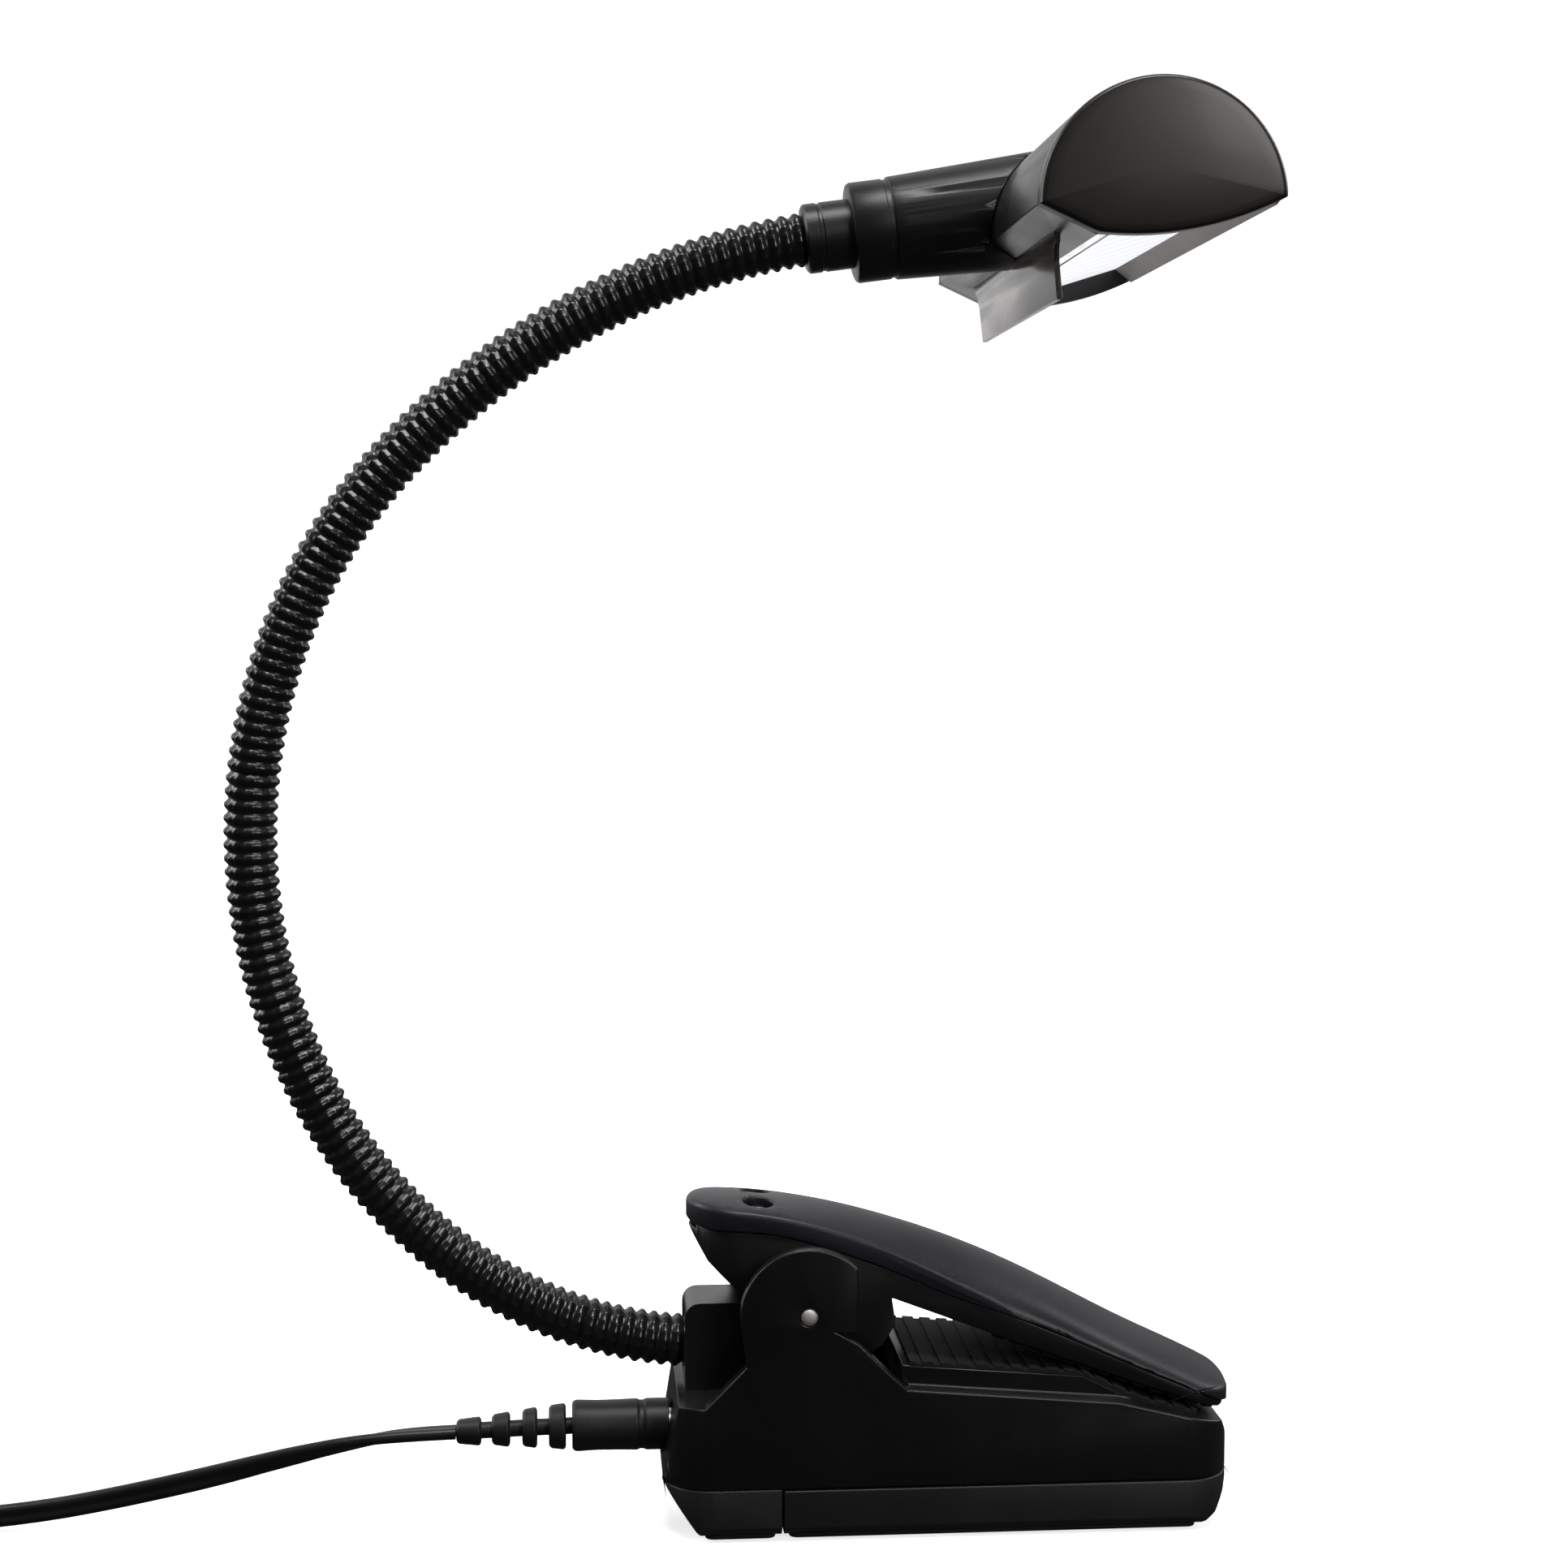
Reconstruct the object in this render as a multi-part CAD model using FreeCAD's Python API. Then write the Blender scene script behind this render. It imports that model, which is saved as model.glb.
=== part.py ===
import FreeCAD, Part
import math
import os
from FreeCAD import Vector

# Clip-on reading lamp: battery base with a sprung clip, bendable neck, LED bar head
# and a plug-in mains lead.  Millimetres, +Z up, +X towards the clip's nose,
# origin at the middle of the foot's bottom face.

# ---------------------------------------------------------------- driving dimensions
running_gap = 0.3            # between pieces that move past each other
pin_gap = 0.05               # radial clearance of the lever on its pin
fit_gap = 0.15               # between a seated piece and its pocket

base_length = 102.0
base_width = 37.0
base_corner_r = 9.0
base_wall = 1.8
foot_height = 0.9            # thickness of the rubber foot pads
parting_z = 9.2              # line between the upper housing and the bottom pieces
rear_deck_z = 24.0           # floor of the channel between the ears
deck_back = (-8.3, 26.8)     # where the deck meets the ears (x, z)
deck_bend = (30.0, 23.6)     # where the deck turns down to the nose
deck_front = (49.4, 18.9)
nose_z = 13.0                # where the nose turns vertical
nose_drop = 2.2              # height of the bevel between the deck and the nose
seat_height = 3.5            # raised seat behind the jaw, above the deck
seat_side_gap = 0.4          # between the seat and the ears
seat_x = (-8.6, 24.0, 35.0)  # back, end of the flat top, foot of its front slope
door_split_x = -29.9
bottom_floor = 2.0           # floor thickness of the bottom pieces
long_edge_bevel = 1.4

pin_x = -25.3
pin_z = 40.1
pin_radius = 1.5
ear_radius = 12.1
ear_thickness = 3.1

cell_radius = 5.25           # AAA cell
cell_length = 44.5
cell_nub_radius = 1.9
cell_nub_length = 0.8
cell_gap = 0.4               # between neighbouring cells
cell_count = 3
cell_axis_z = 9.3
cell_back_x = -13.0          # negative end of the cells
contact_gap = 2.6            # room for a contact spring behind each cell
contact_plate = 0.4
contact_wire_radius = 0.3
cradle_wall = 1.2
board_thickness = 1.2
boss_radius = 2.9            # screw bosses under the rear deck
screw_radius = 1.1
screw_head_radius = 2.2
cover_screw_x = -37.0
cover_screw_y = 9.0
inlet_hole_radius = 3.2
wire_hole_radius = 2.2
switch_x = 12.0
switch_z = 18.6
switch_slot = (10.0, 3.4)    # length and height of the slot in the housing
knob_size = (3.2, 2.2)

jaw_pad_thickness = 0.8
jaw_pad_inset = 2.0          # how far the upper pad stays inside the lower one
lever_side_gap = 0.8         # between the lever and the ears
lever_shell = 1.8
cheek_thickness = 2.2
hub_radius = 4.6
hub_side_gap = 0.5           # between the hubs and the ears
lever_screw_x = -33.4
lever_screw_y = 4.6
lever_screw_bore = 2.75
lever_shank_radius = 1.2
screw_seat_z = 53.4
screw_head_top = 54.7
lever_rim_round = 1.2        # rounding of the cover's upper rim
screw_seat_wall = 1.4

spring_wire = 1.1
spring_radius = 3.4
spring_turns = 6

neck_radius = 4.4
neck_joint_gap = 1.3         # from each joint's centre to the sleeves on both sides
neck_ball_radius = 3.4
neck_stem_radius = 2.4
neck_start = (-44.6, 31.3)   # x, z of the neck's lower end
neck_start_deg = 177.2       # its direction there, from +X towards +Z
neck_arc_length = 290.8 / 7  # the neck is 290.8 long and bends in seven arcs
neck_arc_radii = (75.4, 87.1, 101.6, 102.4, 94.6, 130.8, 127.4)
socket_size = (11.8, 13.0, 15.8)
socket_round = 2.6
socket_back = 2.1            # how far the socket reaches past the neck's start

head_centre = (27.0, 228.4)  # x, z of the middle of the head's chord
head_tilt_deg = 6.0          # front of the head is raised by this much
head_length = 120.0
head_radius = 19.8
head_belly = 4.7             # depth of the rounded underside
head_rim = 1.0               # short flat rim below the dome
head_wall = 1.6
end_cap_depth = 4.0
end_cap_round = 1.1
back_bevel = ((-19.75, 1.7), (-11.5, -3.2))   # flat under the back edge, in the head's own x, z
window_back = -9.0           # light window, in the head's own x
window_front = 15.5
diffuser_thickness = 1.2
shield_x = -14.0             # glare shield, in the head's own x
shield_drop = 12.9
shield_half_length = 40.0
shield_thickness = 1.0
led_count = 9
led_pitch = 12.0

barrel_tilt_deg = 7.7
barrel_small_radius = 9.0
barrel_large_radius = 10.5
ring_radius = 8.8
ring_length = 7.2
collar_radius = 6.1
collar_length = 8.4

plug_z = 16.0                # height of the power inlet's axis
plug_radius = 4.6
plug_length = 16.6
plug_seat_depth = 0.6        # how far the handle sinks into the housing
inlet_barrel_radius = 2.75
inlet_barrel_length = 9.5
relief_core_radius = 1.5
# near x, far x, near diameter, far diameter and height of each ring of the strain relief
relief_rings = (
    (-68.1, -71.2, 8.3, 7.7, 15.9),
    (-73.3, -76.0, 7.3, 6.7, 15.8),
    (-78.2, -81.5, 6.3, 5.5, 15.6),
    (-83.4, -87.9, 5.2, 4.4, 15.4),
)
cord_diameter = 4.0          # width of the flat twin cord
cord_thickness = 2.3         # room that a turn takes beside its neighbour
coil_mid_diameter = 44.0
coil_turns = 12
coil_columns = 3             # turns side by side, each on its edge
coil_layers = 4              # turns on each other
coil_centre = (-206.0, 20.0)
tie_thickness = 0.8
adapter_size = (50.0, 40.0, 30.0)
adapter_centre = (-290.0, 40.0)
adapter_round = 3.0
blade_size = (16.0, 1.5, 6.4)
blade_spacing = 12.7

# cord route from the strain relief to the coil, and from the coil to the adapter
cord_points = [
    (-88.0, 0.0, 15.3),
    (-97.0, 0.0, 15.1),
    (-107.0, 0.0, 13.8),
    (-118.5, 0.0, 11.4),
    (-133.6, 0.0, 7.8),
    (-148.6, 0.0, 4.8),
    (-160.5, -0.8, 3.1),
    (-173.0, -2.0, 2.3),
    (-186.0, -3.6, 2.2),
    (-198.0, -4.9, 2.9),
]
tail_points = [
    (-231.0, 22.6, 14.8),
    (-232.3, 29.3, 14.1),
    (-236.1, 34.9, 12.9),
    (-241.7, 38.7, 11.7),
    (-248.4, 40.0, 10.6),
    (-255.0, 40.0, 10.0),
]

EPS = 0.01


# ---------------------------------------------------------------- helpers
def box(x0, x1, y0, y1, z0, z1):
    return Part.makeBox(x1 - x0, y1 - y0, z1 - z0, Vector(x0, y0, z0))


def rod(radius, start, end):
    start = Vector(*start)
    end = Vector(*end)
    return Part.makeCylinder(radius, (end - start).Length, start, end - start)


def prism_xz(points, y0, y1):
    """A polygon in the XZ plane, extruded along Y."""
    corners = [Vector(x, y0, z) for x, z in points]
    corners.append(corners[0])
    return Part.Face(Part.makePolygon(corners)).extrude(Vector(0, y1 - y0, 0))


def prism_yz(points, x0, x1):
    """A polygon in the YZ plane, extruded along X."""
    corners = [Vector(x0, y, z) for y, z in points]
    corners.append(corners[0])
    return Part.Face(Part.makePolygon(corners)).extrude(Vector(x1 - x0, 0, 0))


def rounded_plan(length, width, radius, z0, z1):
    """An upright block with rounded corners, centred on the Z axis."""
    block = box(-length / 2, length / 2, -width / 2, width / 2, z0, z1)
    upright = [e for e in block.Edges if abs(e.tangentAt(e.FirstParameter).z) > 0.9]
    return block.makeFillet(radius, upright)


def turned(shape, axis_point, axis, degrees):
    copy = shape.copy()
    copy.rotate(Vector(*axis_point), Vector(*axis), degrees)
    return copy


def moved(shape, x, y, z):
    copy = shape.copy()
    copy.translate(Vector(x, y, z))
    return copy


def on_line(start, end, x):
    """Height at x of the straight line from start to end, both (x, z)."""
    return start[1] + (end[1] - start[1]) * (x - start[0]) / (end[0] - start[0])


nodes = {}


def keep(name, shape):
    """Records one piece, or one group of separate equal pieces."""
    shape = shape.removeSplitter() if len(shape.Solids) == 1 else shape
    nodes[name] = shape


# ---------------------------------------------------------------- base
half_length = base_length / 2
half_width = base_width / 2
plug_back_x = -half_length + plug_seat_depth
upper_bottom_z = parting_z + running_gap / 2
lower_top_z = parting_z - running_gap / 2
ear_inner_y = half_width - ear_thickness
seat_half_width = ear_inner_y - seat_side_gap
lever_half_width = ear_inner_y - lever_side_gap
hub_end_y = ear_inner_y - hub_side_gap
ear_top_z = pin_z + ear_radius
neck_socket_x = neck_start[0] + 2.9    # the wire goes down here, past the neck's end


def upper_outline(inset):
    """Side view of the upper housing without ears, pulled in by inset."""
    return [
        (-half_length + inset, upper_bottom_z - (EPS if inset else 0)),
        (-half_length + 1.4 + inset, 16.0),
        (-half_length + 2.8 + inset, rear_deck_z - inset),
        (deck_back[0] - 4.0, rear_deck_z - inset),
        (deck_back[0], deck_back[1] - inset),
        (deck_bend[0], deck_bend[1] - inset),
        (deck_front[0] - inset / 2, deck_front[1] - inset),
        (half_length - 0.6 - inset, deck_front[1] - nose_drop - inset / 2),
        (half_length - inset, nose_z - inset / 2),
        (half_length - inset, upper_bottom_z - (EPS if inset else 0)),
    ]


def lower_outline(inset, top):
    """Side view of the bottom pieces, bevelled up to both ends."""
    return [
        (-half_length + 6.4 + inset, foot_height + inset),
        (half_length - 5.6 - inset, foot_height + inset),
        (half_length - 2.9 - inset, 2.4 + inset),
        (half_length - 1.0 - inset, 5.6),
        (half_length - inset, top),
        (-half_length + inset, top),
    ]


def make_upper_housing():
    plan = rounded_plan(base_length, base_width, base_corner_r, 0, ear_top_z + 5)
    ear_outline = [
        (-half_length + 2.5, 12.0),
        (-half_length + 3.5, 20.0),
        (-36.3, 31.4),
        (pin_x - ear_radius + 0.1, pin_z - 1.0),
        (pin_x, pin_z),
        (pin_x + ear_radius - 3.2, pin_z - 5.0),
        (-11.6, 30.3),
        (deck_back[0] + 0.5, deck_back[1] - 0.04),
        (deck_back[0] + 0.5, 12.0),
    ]
    shell = prism_xz(upper_outline(0), -half_width, half_width)
    ear_disc = rod(ear_radius, (pin_x, -half_width, pin_z), (pin_x, half_width, pin_z))
    ear_disc = ear_disc.common(
        box(pin_x - 20, pin_x + 8.6, -half_width, half_width, pin_z - 3, ear_top_z + 1))
    shell = shell.fuse([prism_xz(ear_outline, -half_width, half_width), ear_disc])
    channel = box(-half_length - 1, deck_back[0] + 1, -ear_inner_y, ear_inner_y,
                  rear_deck_z, ear_top_z + 5)
    shell = shell.cut(channel).common(plan)
    inner_plan = rounded_plan(
        base_length - 2 * base_wall, base_width - 2 * base_wall, base_corner_r - base_wall, 0, 60)
    hollow = prism_xz(upper_outline(base_wall), -half_width, half_width).common(inner_plan)
    seat = prism_xz([
        (seat_x[0], rear_deck_z),
        (seat_x[0], on_line(deck_back, deck_bend, seat_x[0]) + seat_height),
        (seat_x[1], on_line(deck_back, deck_bend, seat_x[1]) + seat_height),
        (seat_x[2], on_line(deck_bend, deck_front, seat_x[2]) - EPS),
        (seat_x[2], deck_front[1] - base_wall + 2),
    ], -seat_half_width, seat_half_width)
    shell = shell.cut(hollow).fuse(seat.cut(hollow))
    # pin bore, inlet hole in the rear wall, switch slot in the far wall, wire hole under the neck
    shell = shell.cut(rod(pin_radius, (pin_x, -half_width - 1, pin_z), (pin_x, half_width + 1, pin_z)))
    shell = shell.cut(rod(inlet_hole_radius, (-half_length - 1, 0, plug_z), (-half_length + 6, 0, plug_z)))
    shell = shell.cut(rod(plug_radius + fit_gap, (-half_length - 1, 0, plug_z), (plug_back_x, 0, plug_z)))
    slot_long, slot_high = switch_slot
    shell = shell.cut(box(switch_x - slot_long / 2, switch_x + slot_long / 2, half_width - base_wall - 1,
                          half_width + 1, switch_z - slot_high / 2, switch_z + slot_high / 2))
    return shell.cut(rod(wire_hole_radius, (neck_socket_x, 0, rear_deck_z - base_wall - 1),
                         (neck_socket_x, 0, rear_deck_z + 1)))


def bottom_piece(x0, x1, top):
    """A tray between x0 and x1, closed only where the base's own end is."""
    plan = rounded_plan(base_length, base_width, base_corner_r, 0, top + 1)
    bevels = prism_yz([
        (-half_width, top),
        (-half_width, foot_height + long_edge_bevel),
        (-half_width + long_edge_bevel, foot_height),
        (half_width - long_edge_bevel, foot_height),
        (half_width, foot_height + long_edge_bevel),
        (half_width, top),
    ], -half_length, half_length)
    outer = prism_xz(lower_outline(0, top), -half_width, half_width).common(plan).common(bevels)
    inner_plan = rounded_plan(
        base_length - 2 * base_wall, base_width - 2 * base_wall, base_corner_r - base_wall,
        foot_height + bottom_floor, top + 1)
    inner = prism_xz(lower_outline(bottom_floor, top + 1), -half_width, half_width).common(inner_plan)
    return outer.cut(inner).common(box(x0, x1, -half_width, half_width, 0, top))


def foot_pad(x0, x1):
    half = half_width - long_edge_bevel - 0.3
    pad = box(x0, x1, -half, half, 0, foot_height)
    upright = [e for e in pad.Edges if abs(e.tangentAt(e.FirstParameter).z) > 0.9]
    return pad.makeFillet(1.5, upright)


keep("upper_housing", make_upper_housing())
keep("rear_cover", bottom_piece(-half_length - 1, door_split_x - running_gap / 2, upper_bottom_z))
keep("battery_door", bottom_piece(door_split_x + running_gap / 2, half_length + 1, lower_top_z))
keep("rear_foot_pad", foot_pad(-half_length + 7.4, door_split_x - 1.2))
keep("front_foot_pad", foot_pad(door_split_x + 1.2, half_length - 6.6))


# ---------------------------------------------------------------- power inside the base
cell_front_x = cell_back_x + cell_length
cell_pitch = 2 * cell_radius + cell_gap
cell_ys = [(i - (cell_count - 1) / 2) * cell_pitch for i in range(cell_count)]
front_plate_x = cell_front_x + running_gap
cradle_back = cell_back_x - contact_gap - cradle_wall
cradle_front = front_plate_x + contact_plate + cradle_wall
cradle_top = cell_axis_z + cell_radius + running_gap
cradle_half_width = half_width - base_wall - 0.3


def make_cradle():
    """Open-bottomed tray over the cells, with an end wall for each set of contacts."""
    roof = cradle_top + cradle_wall
    cradle = box(cradle_back, cradle_front, -cradle_half_width, cradle_half_width, cradle_top, roof)
    wall_half = cradle_half_width - 1.0
    for x in (cradle_back, cradle_front - cradle_wall):
        wall = box(x, x + cradle_wall, -wall_half, wall_half, foot_height + bottom_floor + 0.6, roof)
        cradle = cradle.fuse(wall)
    return cradle


def contact_plates(x):
    half = cell_radius - 1.05
    plates = [box(x, x + contact_plate, y - half, y + half, cell_axis_z - half, cell_axis_z + half)
              for y in cell_ys]
    return Part.makeCompound(plates)


def contact_spring(y):
    """Two stacked wire rings and the strips that join them, pressing on a cell's negative end."""
    back = cell_back_x - contact_gap + contact_plate
    front = cell_back_x
    wire = contact_wire_radius
    rings = []
    for x, radius in ((back + wire, 3.4), ((back + front) / 2, 2.9), (front - wire, 2.4)):
        rings.append(Part.makeTorus(radius, wire, Vector(x, y, cell_axis_z), Vector(1, 0, 0)))
    strips = [rod(wire, (back + wire, y + side * 3.4, cell_axis_z),
                  (front - wire, y + side * 2.4, cell_axis_z)) for side in (-1, 1)]
    return rings[0].fuse(rings[1:] + strips)


keep("battery_cradle", make_cradle())
for index, cell_y in enumerate(cell_ys):
    shoulder_x = cell_front_x - cell_nub_length
    can = rod(cell_radius, (cell_back_x, cell_y, cell_axis_z), (shoulder_x, cell_y, cell_axis_z))
    nub = rod(cell_nub_radius, (shoulder_x - 1, cell_y, cell_axis_z), (cell_front_x, cell_y, cell_axis_z))
    keep("aaa_cell_%d" % (index + 1), can.fuse(nub))
keep("rear_contacts", contact_plates(cradle_back + cradle_wall))
keep("front_contacts", contact_plates(front_plate_x))
keep("contact_springs", Part.makeCompound([contact_spring(y) for y in cell_ys]))

board_z = cradle_top + cradle_wall + 1.0
board_top = board_z + board_thickness
keep("driver_board", box(cradle_back + 8, cradle_front - 6, -11, 11, board_z, board_top))
chips = [box(x, x + w, y, y + d, board_top, board_top + h) for x, y, w, d, h in (
    (-2.0, -6.0, 5.0, 4.0, 1.4), (6.0, -7.0, 6.5, 6.5, 2.4), (18.0, -4.0, 3.0, 6.0, 1.2))]
keep("board_components", Part.makeCompound(chips))

switch_back_y = half_width - base_wall - 0.2
switch_body = box(switch_x - 6, switch_x + 6, switch_back_y - 4.0, switch_back_y,
                  switch_z - 2.1, switch_z + 2.6)
switch_cavity = box(switch_x - 4.5, switch_x + 4.5, switch_back_y - 2.4, switch_back_y + 1,
                    switch_z - 1.4, switch_z + 1.4)
keep("switch_body", switch_body.cut(switch_cavity))
knob_long, knob_high = knob_size
knob_x = switch_x - 3.8
keep("switch_knob", box(knob_x, knob_x + knob_long, switch_back_y - 2.0, half_width + 1.4,
                        switch_z - knob_high / 2, switch_z + knob_high / 2))

inlet_block = box(-half_length + base_wall + 2.8, -half_length + base_wall + 14.0, -4.8, 4.8,
                  plug_z - 5.4, plug_z + 5.0)
inlet_bore = rod(inlet_barrel_radius + fit_gap, (-half_length, 0, plug_z),
                 (-half_length + 2 + inlet_barrel_length, 0, plug_z))
keep("power_inlet", inlet_block.cut(inlet_bore))

screws = []
boss_bottom = foot_height + bottom_floor
pocket_top = boss_bottom - 0.4
screw_top = parting_z + 5
for screw_y in (-cover_screw_y, cover_screw_y):
    head = rod(screw_head_radius, (cover_screw_x, screw_y, foot_height + 0.5),
               (cover_screw_x, screw_y, pocket_top))
    shank = rod(screw_radius, (cover_screw_x, screw_y, foot_height + 0.6),
                (cover_screw_x, screw_y, screw_top))
    screws.append(head.fuse(shank))
    pocket = rod(screw_head_radius, (cover_screw_x, screw_y, 0), (cover_screw_x, screw_y, pocket_top))
    hole = rod(screw_radius, (cover_screw_x, screw_y, 0), (cover_screw_x, screw_y, screw_top))
    nodes["rear_cover"] = nodes["rear_cover"].cut(pocket).cut(hole)
    nodes["rear_foot_pad"] = nodes["rear_foot_pad"].cut(pocket)
    boss = rod(boss_radius, (cover_screw_x, screw_y, boss_bottom),
               (cover_screw_x, screw_y, rear_deck_z - base_wall))
    nodes["upper_housing"] = nodes["upper_housing"].fuse(boss).cut(hole)
keep("cover_screws", Part.makeCompound(screws))


# ---------------------------------------------------------------- lever and jaws
# x, height of the cover's lower edge, height of its ridge
lever_stations = [
    (-47.0, 54.9, 57.8),
    (-40.0, 53.6, 58.5),
    (-30.0, 52.8, 57.6),
    (-20.0, 50.1, 55.9),
    (-10.0, 46.6, 53.3),
    (0.0, 42.3, 50.0),
    (12.0, 38.2, 44.9),
    (24.0, 33.2, 38.7),
    (36.0, 27.8, 32.3),
    (46.0, 23.5, 27.4),
    (55.0, 19.8, 22.2),
]
lip_back = (-10.6, 41.8)
lip_front = (49.6, 20.2)
tip_x = -46.2
nose_x = 52.4


def edge_height(x):
    """Height of the cover's lower edge at x."""
    for (xa, za, _), (xb, zb, _) in zip(lever_stations, lever_stations[1:]):
        if xa <= x <= xb:
            return on_line((xa, za), (xb, zb), x)


def lever_plan(inset):
    """The lever seen from above: narrow rounded tip, wide rounded jaw end."""
    w = lever_half_width - inset
    t = w - 4.6
    front = nose_x - inset
    back = tip_x + inset
    edges = []
    for side in (1, -1):
        edges.append(Part.LineSegment(Vector(-38, side * t, 0), Vector(12, side * w, 0)).toShape())
        edges.append(Part.LineSegment(Vector(12, side * w, 0), Vector(45, side * w, 0)).toShape())
        edges.append(Part.Arc(Vector(45, side * w, 0), Vector(front - 2.6, side * (w - 2.6), 0),
                              Vector(front - 0.4, side * (w - 8.2), 0)).toShape())
    edges.append(Part.Arc(Vector(front - 0.4, w - 8.2, 0), Vector(front, 0, 0),
                          Vector(front - 0.4, 8.2 - w, 0)).toShape())
    edges.append(Part.Arc(Vector(-38, t, 0), Vector(back, 0, 0), Vector(-38, -t, 0)).toShape())
    outline = Part.Wire(Part.__sortEdges__(edges))
    return moved(Part.Face(outline).extrude(Vector(0, 0, 60)), 0, 0, 10)


def crowned_loft(inset):
    """Crowned bar through the lever's stations."""
    sections = []
    for x, edge, ridge in lever_stations:
        low = edge - (1.0 if inset else 0.0)
        half = lever_half_width - inset
        crown = Part.Ellipse(Vector(x, half, low), Vector(x, 0, ridge - inset), Vector(x, 0, low))
        arc = Part.ArcOfEllipse(crown, 0, math.pi).toShape()
        base_line = Part.LineSegment(Vector(x, -half, low), Vector(x, half, low)).toShape()
        sections.append(Part.Wire([arc, base_line]))
    return Part.makeLoft(sections, True, False)


def make_lever_cover():
    """Crowned shell whose upper rim is rounded all the way round."""
    cover = crowned_loft(0).common(lever_plan(0))
    rim = []
    for edge in cover.Edges:
        middle = (edge.FirstParameter + edge.LastParameter) / 2
        place = edge.valueAt(middle)
        level = abs(edge.tangentAt(middle).z) < 0.8
        if level and place.z > edge_height(place.x) + 0.6:
            rim.append(edge)
    cover = cover.makeFillet(lever_rim_round, rim)
    return cover.cut(crowned_loft(lever_shell).common(lever_plan(lever_shell)))


def edge_points(x0, x1, drop):
    """Points of the cover's lower edge between x0 and x1, lowered by drop."""
    inner = [(x, z - drop) for x, z, _ in lever_stations if x0 < x < x1]
    return [(x0, edge_height(x0) - drop)] + inner + [(x1, edge_height(x1) - drop)]


def make_lever_arm():
    """Inner shell: jaw beam, thin rear plate and two cheeks that ride on the pin."""
    top = edge_points(tip_x + 1.8, nose_x - 1.4, 0.02)
    beam = top + [(nose_x - 1.9, lip_front[1] + 0.1), lip_front, lip_back]
    beam += [(x, z - 1.8) for x, z in reversed(edge_points(tip_x + 1.9, lip_back[0] - 3, 0.0))]
    arm = prism_xz(beam, -lever_half_width, lever_half_width).common(lever_plan(0.5))
    pocket = prism_xz([
        (lip_back[0] + 3, 60.0),
        (lip_back[0] + 3, on_line(lip_back, lip_front, lip_back[0] + 3) + 1.6),
        (40.0, on_line(lip_back, lip_front, 40.0) + 1.6),
        (40.0, 60.0),
    ], -lever_half_width + 2.4, lever_half_width - 2.4)
    arm = arm.cut(pocket)
    cheek = [
        (-45.9, 53.2),
        (-42.6, 47.7),
        (-35.7, 41.1),
        (-31.5, 36.4),
        (pin_x, 33.4),
        (-15.0, 31.0),
        (-11.5, 33.0),
        (-9.3, 37.0),
        (-10.2, 43.0),
        (-10.8, 46.0),
        (-20.0, 49.6),
        (-30.0, 52.2),
    ]
    skirt = prism_xz(cheek, -lever_half_width, lever_half_width).common(lever_plan(0.5))
    skirt = skirt.cut(lever_plan(0.5 + cheek_thickness))
    hubs = [rod(hub_radius, (pin_x, side * 8.6, pin_z), (pin_x, side * hub_end_y, pin_z))
            for side in (-1, 1)]
    arm = arm.fuse([skirt] + hubs)
    return arm.cut(rod(pin_radius + pin_gap, (pin_x, -half_width, pin_z), (pin_x, half_width, pin_z)))


lip_slope = math.atan2(lip_front[1] - lip_back[1], lip_front[0] - lip_back[0])


def make_upper_jaw_pad():
    """Ribbed rubber strip under the beam."""
    x0, x1 = 8.0, 49.0
    half = seat_half_width - jaw_pad_inset
    strip = prism_xz([
        (x0, on_line(lip_back, lip_front, x0)),
        (x1, on_line(lip_back, lip_front, x1)),
        (x1, on_line(lip_back, lip_front, x1) - jaw_pad_thickness),
        (x0, on_line(lip_back, lip_front, x0) - jaw_pad_thickness),
    ], -half, half).common(lever_plan(1.6))
    for i in range(12):
        x = x0 + 2.5 + i * 3.2
        z = on_line(lip_back, lip_front, x) - jaw_pad_thickness
        groove = box(-0.6, 0.6, -half - 1, half + 1, -0.4, 0.4)
        groove.rotate(Vector(0, 0, 0), Vector(0, 1, 0), -math.degrees(lip_slope))
        strip = strip.cut(moved(groove, x, 0, z))
    return strip


def make_lower_jaw_pad():
    """Ribbed rubber strip that follows the deck down to the nose."""
    half = seat_half_width
    t = jaw_pad_thickness
    foot = (seat_x[2], on_line(deck_bend, deck_front, seat_x[2]))
    shoulder = (seat_x[1], on_line(deck_back, deck_bend, seat_x[1]) + seat_height)
    x0 = seat_x[0] + 1.5
    x1 = deck_front[0] - 4.6
    line = [
        (x0, on_line(deck_back, deck_bend, x0) + seat_height),
        shoulder,
        foot,
        (x1, on_line(deck_bend, deck_front, x1)),
    ]
    strip = prism_xz(line + [(x, z + t) for x, z in reversed(line)], -half, half)
    groove_pitch = 3.2
    for before, after in zip(line, line[1:]):
        slope = math.degrees(math.atan2(after[1] - before[1], after[0] - before[0]))
        count = int((after[0] - before[0] - 1.6) / groove_pitch) + 1
        for i in range(count):
            x = before[0] + 1.6 + i * groove_pitch
            groove = box(-0.6, 0.6, -half - 1, half + 1, t - 0.35, t + 0.5)
            groove = turned(groove, (0, 0, 0), (0, 1, 0), -slope)
            strip = strip.cut(moved(groove, x, 0, on_line(before, after, x)))
    return strip


def lever_screw(side):
    """Screw from the cover's bore into the arm."""
    y = side * lever_screw_y
    head = rod(lever_screw_bore - running_gap, (lever_screw_x, y, screw_head_top),
               (lever_screw_x, y, screw_seat_z))
    shank = rod(lever_shank_radius, (lever_screw_x, y, screw_seat_z),
                (lever_screw_x, y, screw_seat_z - 3.5))
    return head.fuse(shank)


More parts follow.
